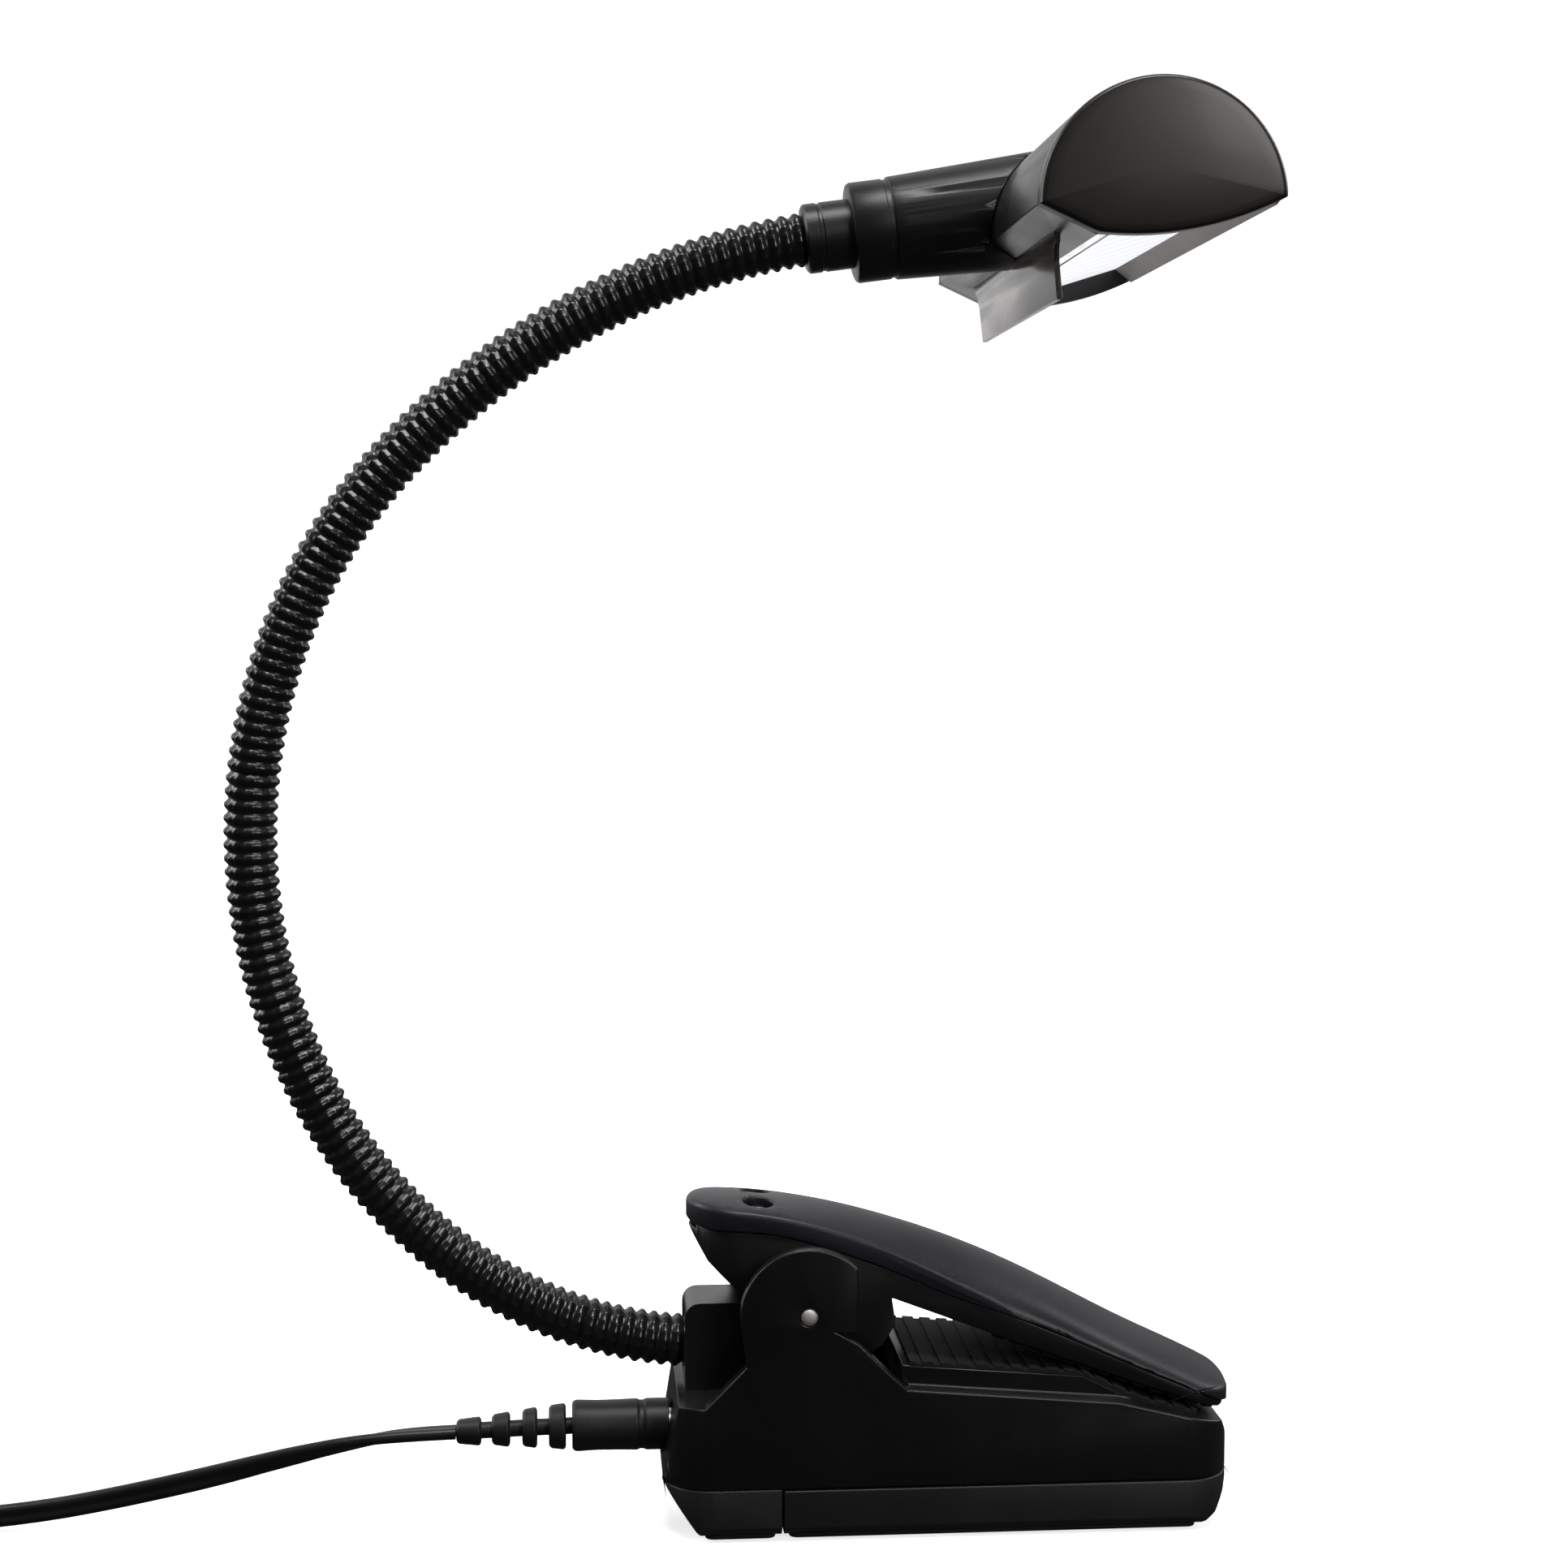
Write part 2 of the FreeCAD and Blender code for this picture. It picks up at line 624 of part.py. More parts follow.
def make_torsion_spring():
    """Coils round the pin, one leg on the base's floor and one under the lever's rear plate."""
    pitch = spring_wire + 0.5
    width = pitch * spring_turns
    helix = Part.makeHelix(pitch, width, spring_radius + spring_wire / 2)
    start = Vector(spring_radius + spring_wire / 2, 0, 0)
    section = Part.Wire(Part.makeCircle(spring_wire / 2, start, Vector(0, 1, 0)))
    coil = Part.Wire(helix).makePipeShell([section], True, True)
    coil.rotate(Vector(0, 0, 0), Vector(1, 0, 0), -90)
    coil.translate(Vector(pin_x, -width / 2, pin_z))
    reach = spring_radius + spring_wire / 2
    down_leg = rod(spring_wire / 2, (pin_x + reach, -width / 2, pin_z + 0.5),
                   (pin_x + reach, -width / 2, rear_deck_z + spring_wire / 2))
    up_leg = rod(spring_wire / 2, (pin_x + reach, width / 2, pin_z - 0.5),
                 (pin_x + reach - 4.0, width / 2, pin_z + 7.4))
    return coil.fuse([down_leg, up_leg])


cover = make_lever_cover()
arm = make_lever_arm()
for side in (-1, 1):
    y = side * lever_screw_y
    cover = cover.cut(rod(lever_screw_bore, (lever_screw_x, y, 70), (lever_screw_x, y, 50)))
    seat = rod(lever_screw_bore + screw_seat_wall, (lever_screw_x, y, screw_seat_z - 0.2),
               (lever_screw_x, y, screw_seat_z - 2.3))
    arm = arm.fuse(seat).cut(rod(lever_shank_radius, (lever_screw_x, y, 56), (lever_screw_x, y, 46)))
arm = arm.cut(cover)
keep("lever_cover", cover)
keep("lever_arm", arm)
keep("lever_screws", Part.makeCompound([lever_screw(-1), lever_screw(1)]))
keep("upper_jaw_pad", make_upper_jaw_pad())
keep("lower_jaw_pad", make_lower_jaw_pad())
pin_end_y = half_width + 0.3
keep("pivot_pin", rod(pin_radius, (pin_x, -pin_end_y, pin_z), (pin_x, pin_end_y, pin_z)))
keep("torsion_spring", make_torsion_spring())


# ---------------------------------------------------------------- bendable neck
def neck_frames():
    """Start point and direction of every neck arc, and the end of the last."""
    x, z = neck_start
    angle = math.radians(neck_start_deg)
    frames = [(x, z, angle)]
    for radius in neck_arc_radii:
        turn = neck_arc_length / radius
        cx = x + radius * math.sin(angle)
        cz = z - radius * math.cos(angle)
        angle -= turn
        x = cx - radius * math.sin(angle)
        z = cz + radius * math.cos(angle)
        frames.append((x, z, angle))
    return frames


def arc_point(frame, radius, s):
    """Point and direction a distance s along one arc."""
    x, z, angle = frame
    turned_by = angle - s / radius
    px = x + radius * math.sin(angle) - radius * math.sin(turned_by)
    pz = z - radius * math.cos(angle) + radius * math.cos(turned_by)
    return Vector(px, 0, pz), Vector(math.cos(turned_by), 0, math.sin(turned_by))


def neck_sleeve(index, frames):
    """One rigid length of neck: a ball at its far end, a cup at its near end."""
    radius = neck_arc_radii[index]
    frame = frames[index]
    last = len(neck_arc_radii) - 1
    s0 = neck_joint_gap if index > 0 else 0.0
    s1 = neck_arc_length - (neck_joint_gap if index < last else 0.0)
    start, direction = arc_point(frame, radius, s0)
    middle, _ = arc_point(frame, radius, (s0 + s1) / 2)
    end, end_direction = arc_point(frame, radius, s1)
    path = Part.Wire([Part.Arc(start, middle, end).toShape()])
    section = Part.Wire(Part.makeCircle(neck_radius, start, direction))
    sleeve = path.makePipeShell([section], True, False)
    if index > 0:
        sleeve = sleeve.cut(Part.makeSphere(neck_ball_radius + running_gap, Vector(frame[0], 0, frame[1])))
    if index < last:
        nx, nz, _ = frames[index + 1]
        joint = Vector(nx, 0, nz)
        stem = Part.makeCylinder(neck_stem_radius, neck_joint_gap + 1.0, end - end_direction, joint - end)
        sleeve = sleeve.fuse([stem, Part.makeSphere(neck_ball_radius, joint)])
    return sleeve


frames = neck_frames()
sleeves = [neck_sleeve(i, frames) for i in range(len(neck_arc_radii))]
for index, sleeve in enumerate(sleeves):
    keep("neck_sleeve_%d" % (index + 1), sleeve)

socket_x0 = neck_start[0] - socket_back
socket = box(socket_x0, socket_x0 + socket_size[0], -socket_size[1] / 2, socket_size[1] / 2,
             rear_deck_z, rear_deck_z + socket_size[2])
socket_edges = [e for e in socket.Edges
                if abs(e.tangentAt(e.FirstParameter).y) > 0.9 and e.CenterOfMass.z > neck_start[1]]
socket = socket.makeFillet(socket_round, socket_edges)
wire_way = rod(wire_hole_radius, (neck_socket_x, 0, rear_deck_z - 1), (neck_socket_x, 0, neck_start[1]))
socket = socket.cut(sleeves[0]).cut(wire_way)
keep("neck_socket", socket)


# ---------------------------------------------------------------- head
def head_place(shape):
    """From the head's own frame (chord along x, underside down) to the lamp's."""
    placed = turned(shape, (0, 0, 0), (0, 1, 0), -head_tilt_deg)
    return moved(placed, head_centre[0], 0, head_centre[1])


def head_section(inset, y0, y1):
    """Half-round bar with a shallow rounded underside, between y0 and y1."""
    r = head_radius - inset
    rim = head_rim - inset * 0.5
    belly = head_belly - inset
    edges = [
        Part.Arc(Vector(-r, y0, 0), Vector(0, y0, r), Vector(r, y0, 0)).toShape(),
        Part.LineSegment(Vector(r, y0, 0), Vector(r - 0.2, y0, -rim)).toShape(),
        Part.Arc(Vector(r - 0.2, y0, -rim), Vector(0, y0, -belly), Vector(0.2 - r, y0, -rim)).toShape(),
        Part.LineSegment(Vector(0.2 - r, y0, -rim), Vector(-r, y0, 0)).toShape(),
    ]
    return Part.Face(Part.Wire(edges)).extrude(Vector(0, y1 - y0, 0))


shell_half = head_length / 2 - end_cap_depth
window_low = (window_back, -3.9)
window_high = (window_front, 1.1)
rim_foot = (head_radius - 1.3, -1.8)
bezel_thickness = 0.7


def back_cut(inset, half):
    """Takes off the corner under the shell's back edge."""
    (xa, za), (xb, zb) = back_bevel
    long = math.hypot(xb - xa, zb - za)
    dx = inset * (za - zb) / long
    dz = inset * (xb - xa) / long
    run = 2.0
    top = (xa + dx - run * (xb - xa), za + dz - run * (zb - za))
    foot = (xb + dx + run * (xb - xa), zb + dz + run * (zb - za))
    return prism_xz([top, foot, (-40.0, foot[1])], -half, half)


def make_head_shell():
    """Half-round shell with the light window set into its underside."""
    outer = head_section(0, -shell_half, shell_half).cut(back_cut(0, shell_half + 1))
    inner = head_section(head_wall, -shell_half - 1, shell_half + 1).cut(back_cut(head_wall, shell_half + 2))
    front_rim = prism_xz([
        window_high,
        rim_foot,
        (head_radius, -1.8),
        (head_radius, 2.6),
        (window_front, 2.6),
    ], -shell_half, shell_half).common(outer)
    shell = outer.cut(inner).fuse(front_rim)
    window = prism_xz([
        (window_back, -8.0),
        window_low,
        (window_back + 1, 0.0),
        (window_front - 1, 1.1),
        window_high,
        rim_foot,
        (rim_foot[0], -8.0),
    ], -shell_half - 1, shell_half + 1)
    return shell.cut(window)


def make_bezel():
    """Pale strip on the front wall of the window recess."""
    run = Vector(rim_foot[0] - window_high[0], 0, rim_foot[1] - window_high[1])
    out = Vector(-run.z, 0, run.x).normalize() * bezel_thickness
    return prism_xz([
        window_high,
        rim_foot,
        (rim_foot[0] + out.x, rim_foot[1] + out.z),
        (window_high[0] + out.x, window_high[1] + out.z),
    ], -shell_half, shell_half)


def slanted_plate(offset, thickness, x0, x1, half):
    """A plate parallel to the light window, raised by offset."""
    z0 = on_line(window_low, window_high, x0) + offset
    z1 = on_line(window_low, window_high, x1) + offset
    return prism_xz([(x0, z0), (x1, z1), (x1, z1 + thickness), (x0, z0 + thickness)], -half, half)


def make_shield():
    """Upright fin under the head's back edge, wider at its root."""
    top = -0.5
    bottom = 1.0 - shield_drop
    x = shield_x - shield_thickness
    h = shield_half_length
    edges = [
        Part.LineSegment(Vector(x, -h - 3.0, top), Vector(x, h + 3.0, top)).toShape(),
        Part.LineSegment(Vector(x, -h, bottom), Vector(x, h, bottom)).toShape(),
    ]
    for side in (1, -1):
        root = Vector(x, side * (h + 3.0), top)
        flare = Vector(x, side * (h + 3.0), -2.8)
        waist = Vector(x, side * (h + 0.3), -6.6)
        edges.append(Part.LineSegment(root, flare).toShape())
        edges.append(Part.Arc(flare, Vector(x, side * (h + 0.9), -4.2), waist).toShape())
        edges.append(Part.LineSegment(waist, Vector(x, side * h, bottom)).toShape())
    face = Part.Face(Part.Wire(Part.__sortEdges__(edges)))
    return face.extrude(Vector(shield_thickness, 0, 0))


def make_end_cap(side):
    y0, y1 = sorted((side * shell_half, side * head_length / 2))
    cap = head_section(0, y0, y1).cut(back_cut(0, head_length))
    rim_edges = [e for e in cap.Edges if all(abs(v.Y - side * head_length / 2) < EPS for v in e.Vertexes)]
    return cap.makeFillet(end_cap_round, rim_edges)


head_shell = make_head_shell()
shield = make_shield()
head_shell = head_shell.cut(shield)
diffuser = slanted_plate(0.0, diffuser_thickness, window_back - 1.4, window_front + 0.6, shell_half - 0.1)
bezel = make_bezel().cut(diffuser)
head_shell = head_shell.cut(diffuser).cut(bezel)
board_offset = 7.0
led_board = slanted_plate(board_offset, 1.2, -7.0, 13.0, shell_half - 3)
led_ys = [(i - (led_count - 1) / 2) * led_pitch for i in range(led_count)]
led_x = (window_back + window_front) / 2
led_z = on_line(window_low, window_high, led_x) + board_offset
window_tilt = math.degrees(math.atan2(window_high[1] - window_low[1], window_high[0] - window_low[0]))
leds = []
for led_y in led_ys:
    chip = box(-1.7, 1.7, led_y - 1.4, led_y + 1.4, -1.4, -0.02)
    leds.append(moved(turned(chip, (0, 0, 0), (0, 1, 0), -window_tilt), led_x, 0, led_z))
reflector_wall = 1.2
reflector = slanted_plate(diffuser_thickness + 0.2, board_offset - 1.6,
                          window_back + 0.4, window_front - 2.2, shell_half - 2)
reflector_bore = slanted_plate(diffuser_thickness - 1, board_offset + 2, window_back + 0.4 + reflector_wall,
                               window_front - 2.2 - reflector_wall, shell_half - 2 - reflector_wall)
reflector = reflector.cut(reflector_bore)

keep("head_shell", head_place(head_shell))
keep("end_cap_left", head_place(make_end_cap(-1)))
keep("end_cap_right", head_place(make_end_cap(1)))
keep("diffuser", head_place(diffuser))
keep("window_bezel", head_place(bezel))
keep("glare_shield", head_place(shield))
keep("led_board", head_place(led_board))
keep("leds", Part.makeCompound([head_place(led) for led in leds]))
keep("reflector", head_place(reflector))

neck_end_x, neck_end_z, _ = frames[-1]
barrel_axis = (math.cos(math.radians(barrel_tilt_deg)), 0, math.sin(math.radians(barrel_tilt_deg)))


def along_barrel(distance):
    return Vector(neck_end_x + distance * barrel_axis[0], 0, neck_end_z + distance * barrel_axis[2])


axis = Vector(*barrel_axis)
collar_start = -0.2
collar_end = collar_start + collar_length
ring_end = collar_end + ring_length
barrel_end = ring_end + 33.0
collar = Part.makeCylinder(collar_radius, collar_length, along_barrel(collar_start), axis)
collar = collar.cut(sleeves[-1])
ring = Part.makeCylinder(ring_radius, ring_length, along_barrel(collar_end), axis)
ring = ring.makeFillet(0.6, [e for e in ring.Edges if e.Closed])
barrel = Part.makeCone(barrel_small_radius, barrel_large_radius, barrel_end - ring_end,
                       along_barrel(ring_end), axis)
barrel_bore = Part.makeCylinder(barrel_small_radius - 2.1, barrel_end, along_barrel(ring_end + 2.0), axis)
barrel = barrel.cut(barrel_bore)
head_solid = head_section(0, -head_length, head_length).cut(back_cut(0, head_length + 1))
barrel = barrel.cut(head_place(head_solid)).cut(head_place(shield))
barrel = max(barrel.Solids, key=lambda solid: solid.Volume)
keep("neck_collar", collar)
keep("barrel_ring", ring)
keep("head_barrel", barrel)


# ---------------------------------------------------------------- lead, coil and adapter
def cord_tube(points, radius):
    """Straight runs joined by arcs as large as the runs allow; prints each bend."""
    points = [Vector(*p) for p in points]
    edges = []
    here = points[0]
    for before, corner, after in zip(points, points[1:], points[2:]):
        arriving = (corner - before).normalize()
        leaving = (after - corner).normalize()
        turn = arriving.getAngle(leaving)
        reach = 0.45 * min((corner - before).Length, (after - corner).Length)
        bend = reach / math.tan(turn / 2)
        print("bend radius %.1f mm, turn %.1f deg" % (bend, math.degrees(turn)))
        first = corner - arriving * reach
        last = corner + leaving * reach
        inward = (leaving - arriving).normalize()
        middle = corner + inward * (bend / math.cos(turn / 2) - bend)
        edges.append(Part.LineSegment(here, first).toShape())
        edges.append(Part.Arc(first, middle, last).toShape())
        here = last
    edges.append(Part.LineSegment(here, points[-1]).toShape())
    path = Part.Wire(edges)
    section = Part.Wire(Part.makeCircle(radius, points[0], points[1] - points[0]))
    tube = path.makePipeShell([section], True, False)
    expected = math.pi * radius ** 2 * path.Length
    print("tube %.1f mm long, volume %.1f of %.1f mm3" % (path.Length, tube.Volume, expected))
    return tube


cord_radius = cord_diameter / 2
relief_start_x = plug_back_x - plug_length
handle = rod(plug_radius, (plug_back_x, 0, plug_z), (relief_start_x, 0, plug_z))
handle = handle.makeFillet(0.8, [e for e in handle.Edges if e.Closed])
keep("dc_plug_handle", handle)
sleeve_tip_x = plug_back_x + inlet_barrel_length
keep("dc_plug_barrel", rod(inlet_barrel_radius, (plug_back_x, 0, plug_z), (sleeve_tip_x, 0, plug_z)))

segments = []
core_end = Vector(relief_start_x, 0, plug_z)
for near_x, far_x, near_diameter, far_diameter, height in relief_rings:
    centre = Vector((near_x + far_x) / 2, 0, height)
    step = centre - core_end
    segments.append(Part.makeCylinder(relief_core_radius, step.Length, core_end, step))
    segments.append(Part.makeCone(near_diameter / 2, far_diameter / 2, near_x - far_x,
                                  Vector(near_x, 0, height), Vector(-1, 0, 0)))
    core_end = centre
relief = segments[0].fuse(segments[1:]).cut(nodes["dc_plug_handle"])
keep("strain_relief", relief)

keep("power_cord", cord_tube(cord_points, cord_radius))
keep("cord_tail", cord_tube(tail_points, cord_radius))

coil_low = tie_thickness + 0.1
coil_high = coil_low + coil_layers * cord_diameter
coil_inner = coil_mid_diameter / 2 - coil_columns * cord_thickness / 2
coil_outer = coil_mid_diameter / 2 + coil_columns * cord_thickness / 2
coil = Part.makeCylinder(coil_outer, coil_high - coil_low, Vector(coil_centre[0], coil_centre[1], coil_low))
coil = coil.makeFillet(cord_radius - 0.1, [e for e in coil.Edges if e.Closed])
bore = Part.makeCylinder(coil_inner, coil_high + 2, Vector(coil_centre[0], coil_centre[1], 0))
keep("cord_coil", coil.cut(bore))

tie_half = coil_columns * cord_thickness / 2 + 0.3
tie_half_width = 2.2
ties = []
for side in (-1, 1):
    tie_x = coil_centre[0] + side * coil_mid_diameter / 2
    outer = box(tie_x - tie_half - tie_thickness, tie_x + tie_half + tie_thickness,
                coil_centre[1] - tie_half_width, coil_centre[1] + tie_half_width,
                0, coil_high + 0.1 + tie_thickness)
    inner = box(tie_x - tie_half, tie_x + tie_half,
                coil_centre[1] - tie_half_width - 1, coil_centre[1] + tie_half_width + 1,
                tie_thickness, coil_high + 0.1)
    ties.append(outer.cut(inner))
keep("cord_ties", Part.makeCompound(ties))

ax, ay = adapter_centre
length, width, height = adapter_size
adapter = box(ax - length / 2, ax + length / 2, ay - width / 2, ay + width / 2, 0, height)
adapter = adapter.makeFillet(adapter_round, adapter.Edges)
keep("adapter_body", adapter)
exit_x, exit_y, exit_z = tail_points[-1]
keep("adapter_relief", Part.makeCone(cord_radius + 0.3, cord_radius + 1.6, abs(exit_x - (ax + length / 2)),
                                     Vector(exit_x, exit_y, exit_z), Vector(-1, 0, 0)))
blade_long, blade_thick, blade_high = blade_size
blades = []
for side in (-1, 1):
    blade_y = ay + side * blade_spacing / 2
    blades.append(box(ax - length / 2 - blade_long, ax - length / 2, blade_y - blade_thick / 2,
                      blade_y + blade_thick / 2, height / 2 - blade_high / 2, height / 2 + blade_high / 2))
keep("adapter_blades", Part.makeCompound(blades))

# ---------------------------------------------------------------- output
os.makedirs("parts", exist_ok=True)
for name, shape in nodes.items():
    if not shape.isValid():
        print("not valid:", name)
    shape.exportStep("parts/%s.step" % name)
print(len(nodes), "nodes")
for index, (x, z, angle) in enumerate(frames):
    print("neck frame %d: %.3f %.3f %.3f deg" % (index, x, z, math.degrees(angle)))
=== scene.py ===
"""Clip-on reading lamp with a bendable neck and a plug-in lead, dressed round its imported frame."""

import logging
import math
from contextlib import contextmanager
from dataclasses import dataclass
from enum import Enum
from itertools import pairwise
from typing import Callable, Iterator, Sequence

import bmesh
import bpy
from mathutils import Matrix, Vector


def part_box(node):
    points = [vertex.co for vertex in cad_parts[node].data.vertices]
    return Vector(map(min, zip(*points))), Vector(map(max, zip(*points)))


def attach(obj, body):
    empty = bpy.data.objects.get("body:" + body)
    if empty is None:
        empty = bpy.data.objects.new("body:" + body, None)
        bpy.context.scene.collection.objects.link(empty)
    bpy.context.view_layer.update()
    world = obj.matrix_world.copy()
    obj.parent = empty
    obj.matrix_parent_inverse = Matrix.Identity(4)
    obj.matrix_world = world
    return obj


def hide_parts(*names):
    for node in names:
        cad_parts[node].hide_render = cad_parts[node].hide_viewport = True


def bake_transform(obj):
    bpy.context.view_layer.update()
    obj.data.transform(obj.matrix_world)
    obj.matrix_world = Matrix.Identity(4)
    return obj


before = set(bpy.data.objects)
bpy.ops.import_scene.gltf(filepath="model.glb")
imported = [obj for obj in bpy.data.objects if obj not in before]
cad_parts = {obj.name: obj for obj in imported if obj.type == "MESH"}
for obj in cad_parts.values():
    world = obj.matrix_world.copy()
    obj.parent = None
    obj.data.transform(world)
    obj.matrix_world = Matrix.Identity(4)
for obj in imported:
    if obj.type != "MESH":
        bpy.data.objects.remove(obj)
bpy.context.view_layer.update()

log = logging.getLogger("reading_lamp")

MM = 0.001
Point = tuple[float, float, float]
Colour = tuple[float, float, float]


class Pick(Enum):
    """What an edit-mode selection is made of."""

    VERTS = "VERT"
    EDGES = "EDGE"
    FACES = "FACE"


# ---------------------------------------------------------------- workbench
class Workbench:
    """Modelling steps that every sub-assembly uses. Sizes are in millimetres."""

    def clear(self) -> None:
        """Leaves edit mode and deselects everything."""
        if bpy.context.object is not None and bpy.context.object.mode != "OBJECT":
            bpy.ops.object.mode_set(mode="OBJECT")
        bpy.ops.object.select_all(action="DESELECT")

    def hold(self, piece: bpy.types.Object) -> None:
        """Makes one piece the only selected and active object."""
        self.clear()
        piece.select_set(True)
        bpy.context.view_layer.objects.active = piece

    @contextmanager
    def editing(self, piece: bpy.types.Object, pick: Pick = Pick.FACES) -> Iterator[bmesh.types.BMesh]:
        """Opens a piece in edit mode with nothing selected.

        Args:
            piece: the mesh object to edit.
            pick: the select mode.
        """
        self.hold(piece)
        bpy.ops.object.mode_set(mode="EDIT")
        bpy.ops.mesh.select_mode(type=pick.value)
        bpy.ops.mesh.select_all(action="DESELECT")
        yield bmesh.from_edit_mesh(piece.data)
        bpy.ops.object.mode_set(mode="OBJECT")

    def choose_faces(self, piece: bpy.types.Object, mesh: bmesh.types.BMesh,
                     wanted: Callable[[Vector, Vector], bool]) -> None:
        """Selects the faces whose centre and normal pass a test, centres in millimetres."""
        for face in mesh.faces:
            face.select_set(wanted(face.calc_center_median() / MM, face.normal))
        mesh.select_flush_mode()
        bmesh.update_edit_mesh(piece.data)

    def choose_edges(self, piece: bpy.types.Object, mesh: bmesh.types.BMesh,
                     wanted: Callable[[Vector, Vector], bool]) -> None:
        """Selects the edges whose two ends pass a test, ends in millimetres."""
        for edge in mesh.edges:
            edge.select_set(wanted(edge.verts[0].co / MM, edge.verts[1].co / MM))
        mesh.select_flush_mode()
        bmesh.update_edit_mesh(piece.data)

    def named(self, name: str) -> bpy.types.Object:
        """Names the object that was just added, and its mesh."""
        piece = bpy.context.object
        piece.name = name
        piece.data.name = name
        return piece

    def settle(self, piece: bpy.types.Object) -> bpy.types.Object:
        """Puts a piece's place, turn and scale into its mesh."""
        self.hold(piece)
        bpy.ops.object.transform_apply(location=True, rotation=True, scale=True)
        return piece

    def close_up(self, piece: bpy.types.Object) -> bpy.types.Object:
        """Merges doubled points and points the faces outwards."""
        with self.editing(piece, Pick.VERTS):
            bpy.ops.mesh.select_all(action="SELECT")
            bpy.ops.mesh.remove_doubles(threshold=2e-6)
            bpy.ops.mesh.normals_make_consistent(inside=False)
        return piece

    def pull(self, x: float = 0.0, y: float = 0.0, z: float = 0.0) -> None:
        """Extrudes what is selected and moves the new faces or edges."""
        move = (x * MM, y * MM, z * MM)
        bpy.ops.mesh.extrude_region_move(TRANSFORM_OT_translate={"value": move})

    def finish_modifiers(self, piece: bpy.types.Object) -> bpy.types.Object:
        """Applies every modifier in order."""
        self.hold(piece)
        for modifier in list(piece.modifiers):
            bpy.ops.object.modifier_apply(modifier=modifier.name)
        return piece

    def soften(self, piece: bpy.types.Object, width: float, steps: int = 3, above: float = 30.0,
               clamp: bool = True) -> bpy.types.Object:
        """Rounds the sharp edges and shades the piece smooth.

        Args:
            piece: the mesh object.
            width: the bevel's width.
            steps: segments across the bevel.
            above: only edges that turn by more than this many degrees.
            clamp: keeps the bevel inside narrow faces.

        Returns:
            The same object.
        """
        self.hold(piece)
        bpy.ops.object.shade_smooth()
        bevel = piece.modifiers.new("softened edges", "BEVEL")
        bevel.width = width * MM
        bevel.segments = steps
        bevel.limit_method = "ANGLE"
        bevel.angle_limit = math.radians(above)
        bevel.use_clamp_overlap = clamp
        bevel.harden_normals = True
        return self.finish_modifiers(piece)

    def smooth(self, piece: bpy.types.Object, degrees: float = 35.0) -> bpy.types.Object:
        """Shades smooth across all but the sharp edges."""
        self.hold(piece)
        bpy.ops.object.shade_smooth_by_angle(angle=math.radians(degrees))
        return piece

    def turned(self, name: str, stations: Sequence[tuple[float, float]], start: Point,
               towards: Point, facets: int = 64) -> bpy.types.Object:
        """Turns a round piece: a disc is extruded and scaled from station to station.

        Args:
            name: the piece's name.
            stations: distance along the axis and radius, the first distance being 0.
            start: where the axis starts.
            towards: the axis's direction.
            facets: faces round the piece.

        Returns:
            The closed solid.
        """
        self.clear()
        bpy.ops.mesh.primitive_circle_add(vertices=facets, radius=stations[0][1] * MM, fill_type="NGON")
        piece = self.named(name)
        with self.editing(piece):
            bpy.ops.mesh.select_all(action="SELECT")
            for (here, radius), (there, next_radius) in pairwise(stations):
                self.pull(z=there - here)
                scale = next_radius / radius
                bpy.ops.transform.resize(value=(scale, scale, 1), center_override=(0, 0, there * MM))
        self.close_up(piece)
        piece.location = Vector(start) * MM
        piece.rotation_euler = Vector((0, 0, 1)).rotation_difference(Vector(towards)).to_euler()
        return self.settle(piece)

    def block(self, name: str, low: Point, high: Point) -> bpy.types.Object:
        """Adds a block between two corners."""
        self.clear()
        middle = (Vector(low) + Vector(high)) / 2 * MM
        bpy.ops.mesh.primitive_cube_add(size=1, location=middle)
        piece = self.named(name)
        piece.scale = (Vector(high) - Vector(low)) * MM
        return self.settle(piece)

    def copy_of(self, node: str, name: str, merge: float = 0.004) -> bpy.types.Object:
        """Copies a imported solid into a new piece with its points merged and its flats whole.

        Args:
            node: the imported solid.
            name: the new piece's name.
            merge: how near two points are to be one.

        Returns:
            The new object, with its own mesh.
        """
        piece = bpy.data.objects.new(name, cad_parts[node].data.copy())
        piece.data.name = name
        bpy.context.scene.collection.objects.link(piece)
        piece.data.materials.clear()
        with self.editing(piece, Pick.VERTS):
            bpy.ops.mesh.select_all(action="SELECT")
            bpy.ops.mesh.remove_doubles(threshold=merge * MM)
            bpy.ops.mesh.dissolve_limited(angle_limit=math.radians(0.3))
        return piece

    def softened_copy(self, node: str, name: str, width: float, steps: int = 3, above: float = 30.0,
                      clamp: bool = True) -> bpy.types.Object:
        """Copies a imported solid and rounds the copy's sharp edges, as soften does."""
        return self.soften(self.copy_of(node, name), width, steps, above, clamp)

    def cut(self, piece: bpy.types.Object, tool: bpy.types.Object) -> bpy.types.Object:
        """Cuts a tool out of a piece and throws the tool away."""
        boolean = piece.modifiers.new("cut", "BOOLEAN")
        boolean.operation = "DIFFERENCE"
        boolean.solver = "EXACT"
        boolean.object = tool
        self.finish_modifiers(piece)
        bpy.data.objects.remove(tool, do_unlink=True)
        return piece

    def joined(self, name: str, pieces: Sequence[bpy.types.Object]) -> bpy.types.Object:
        """Joins separate solids into one piece."""
        self.clear()
        for piece in pieces:
            piece.select_set(True)
        bpy.context.view_layer.objects.active = pieces[0]
        bpy.ops.object.join()
        return self.named(name)

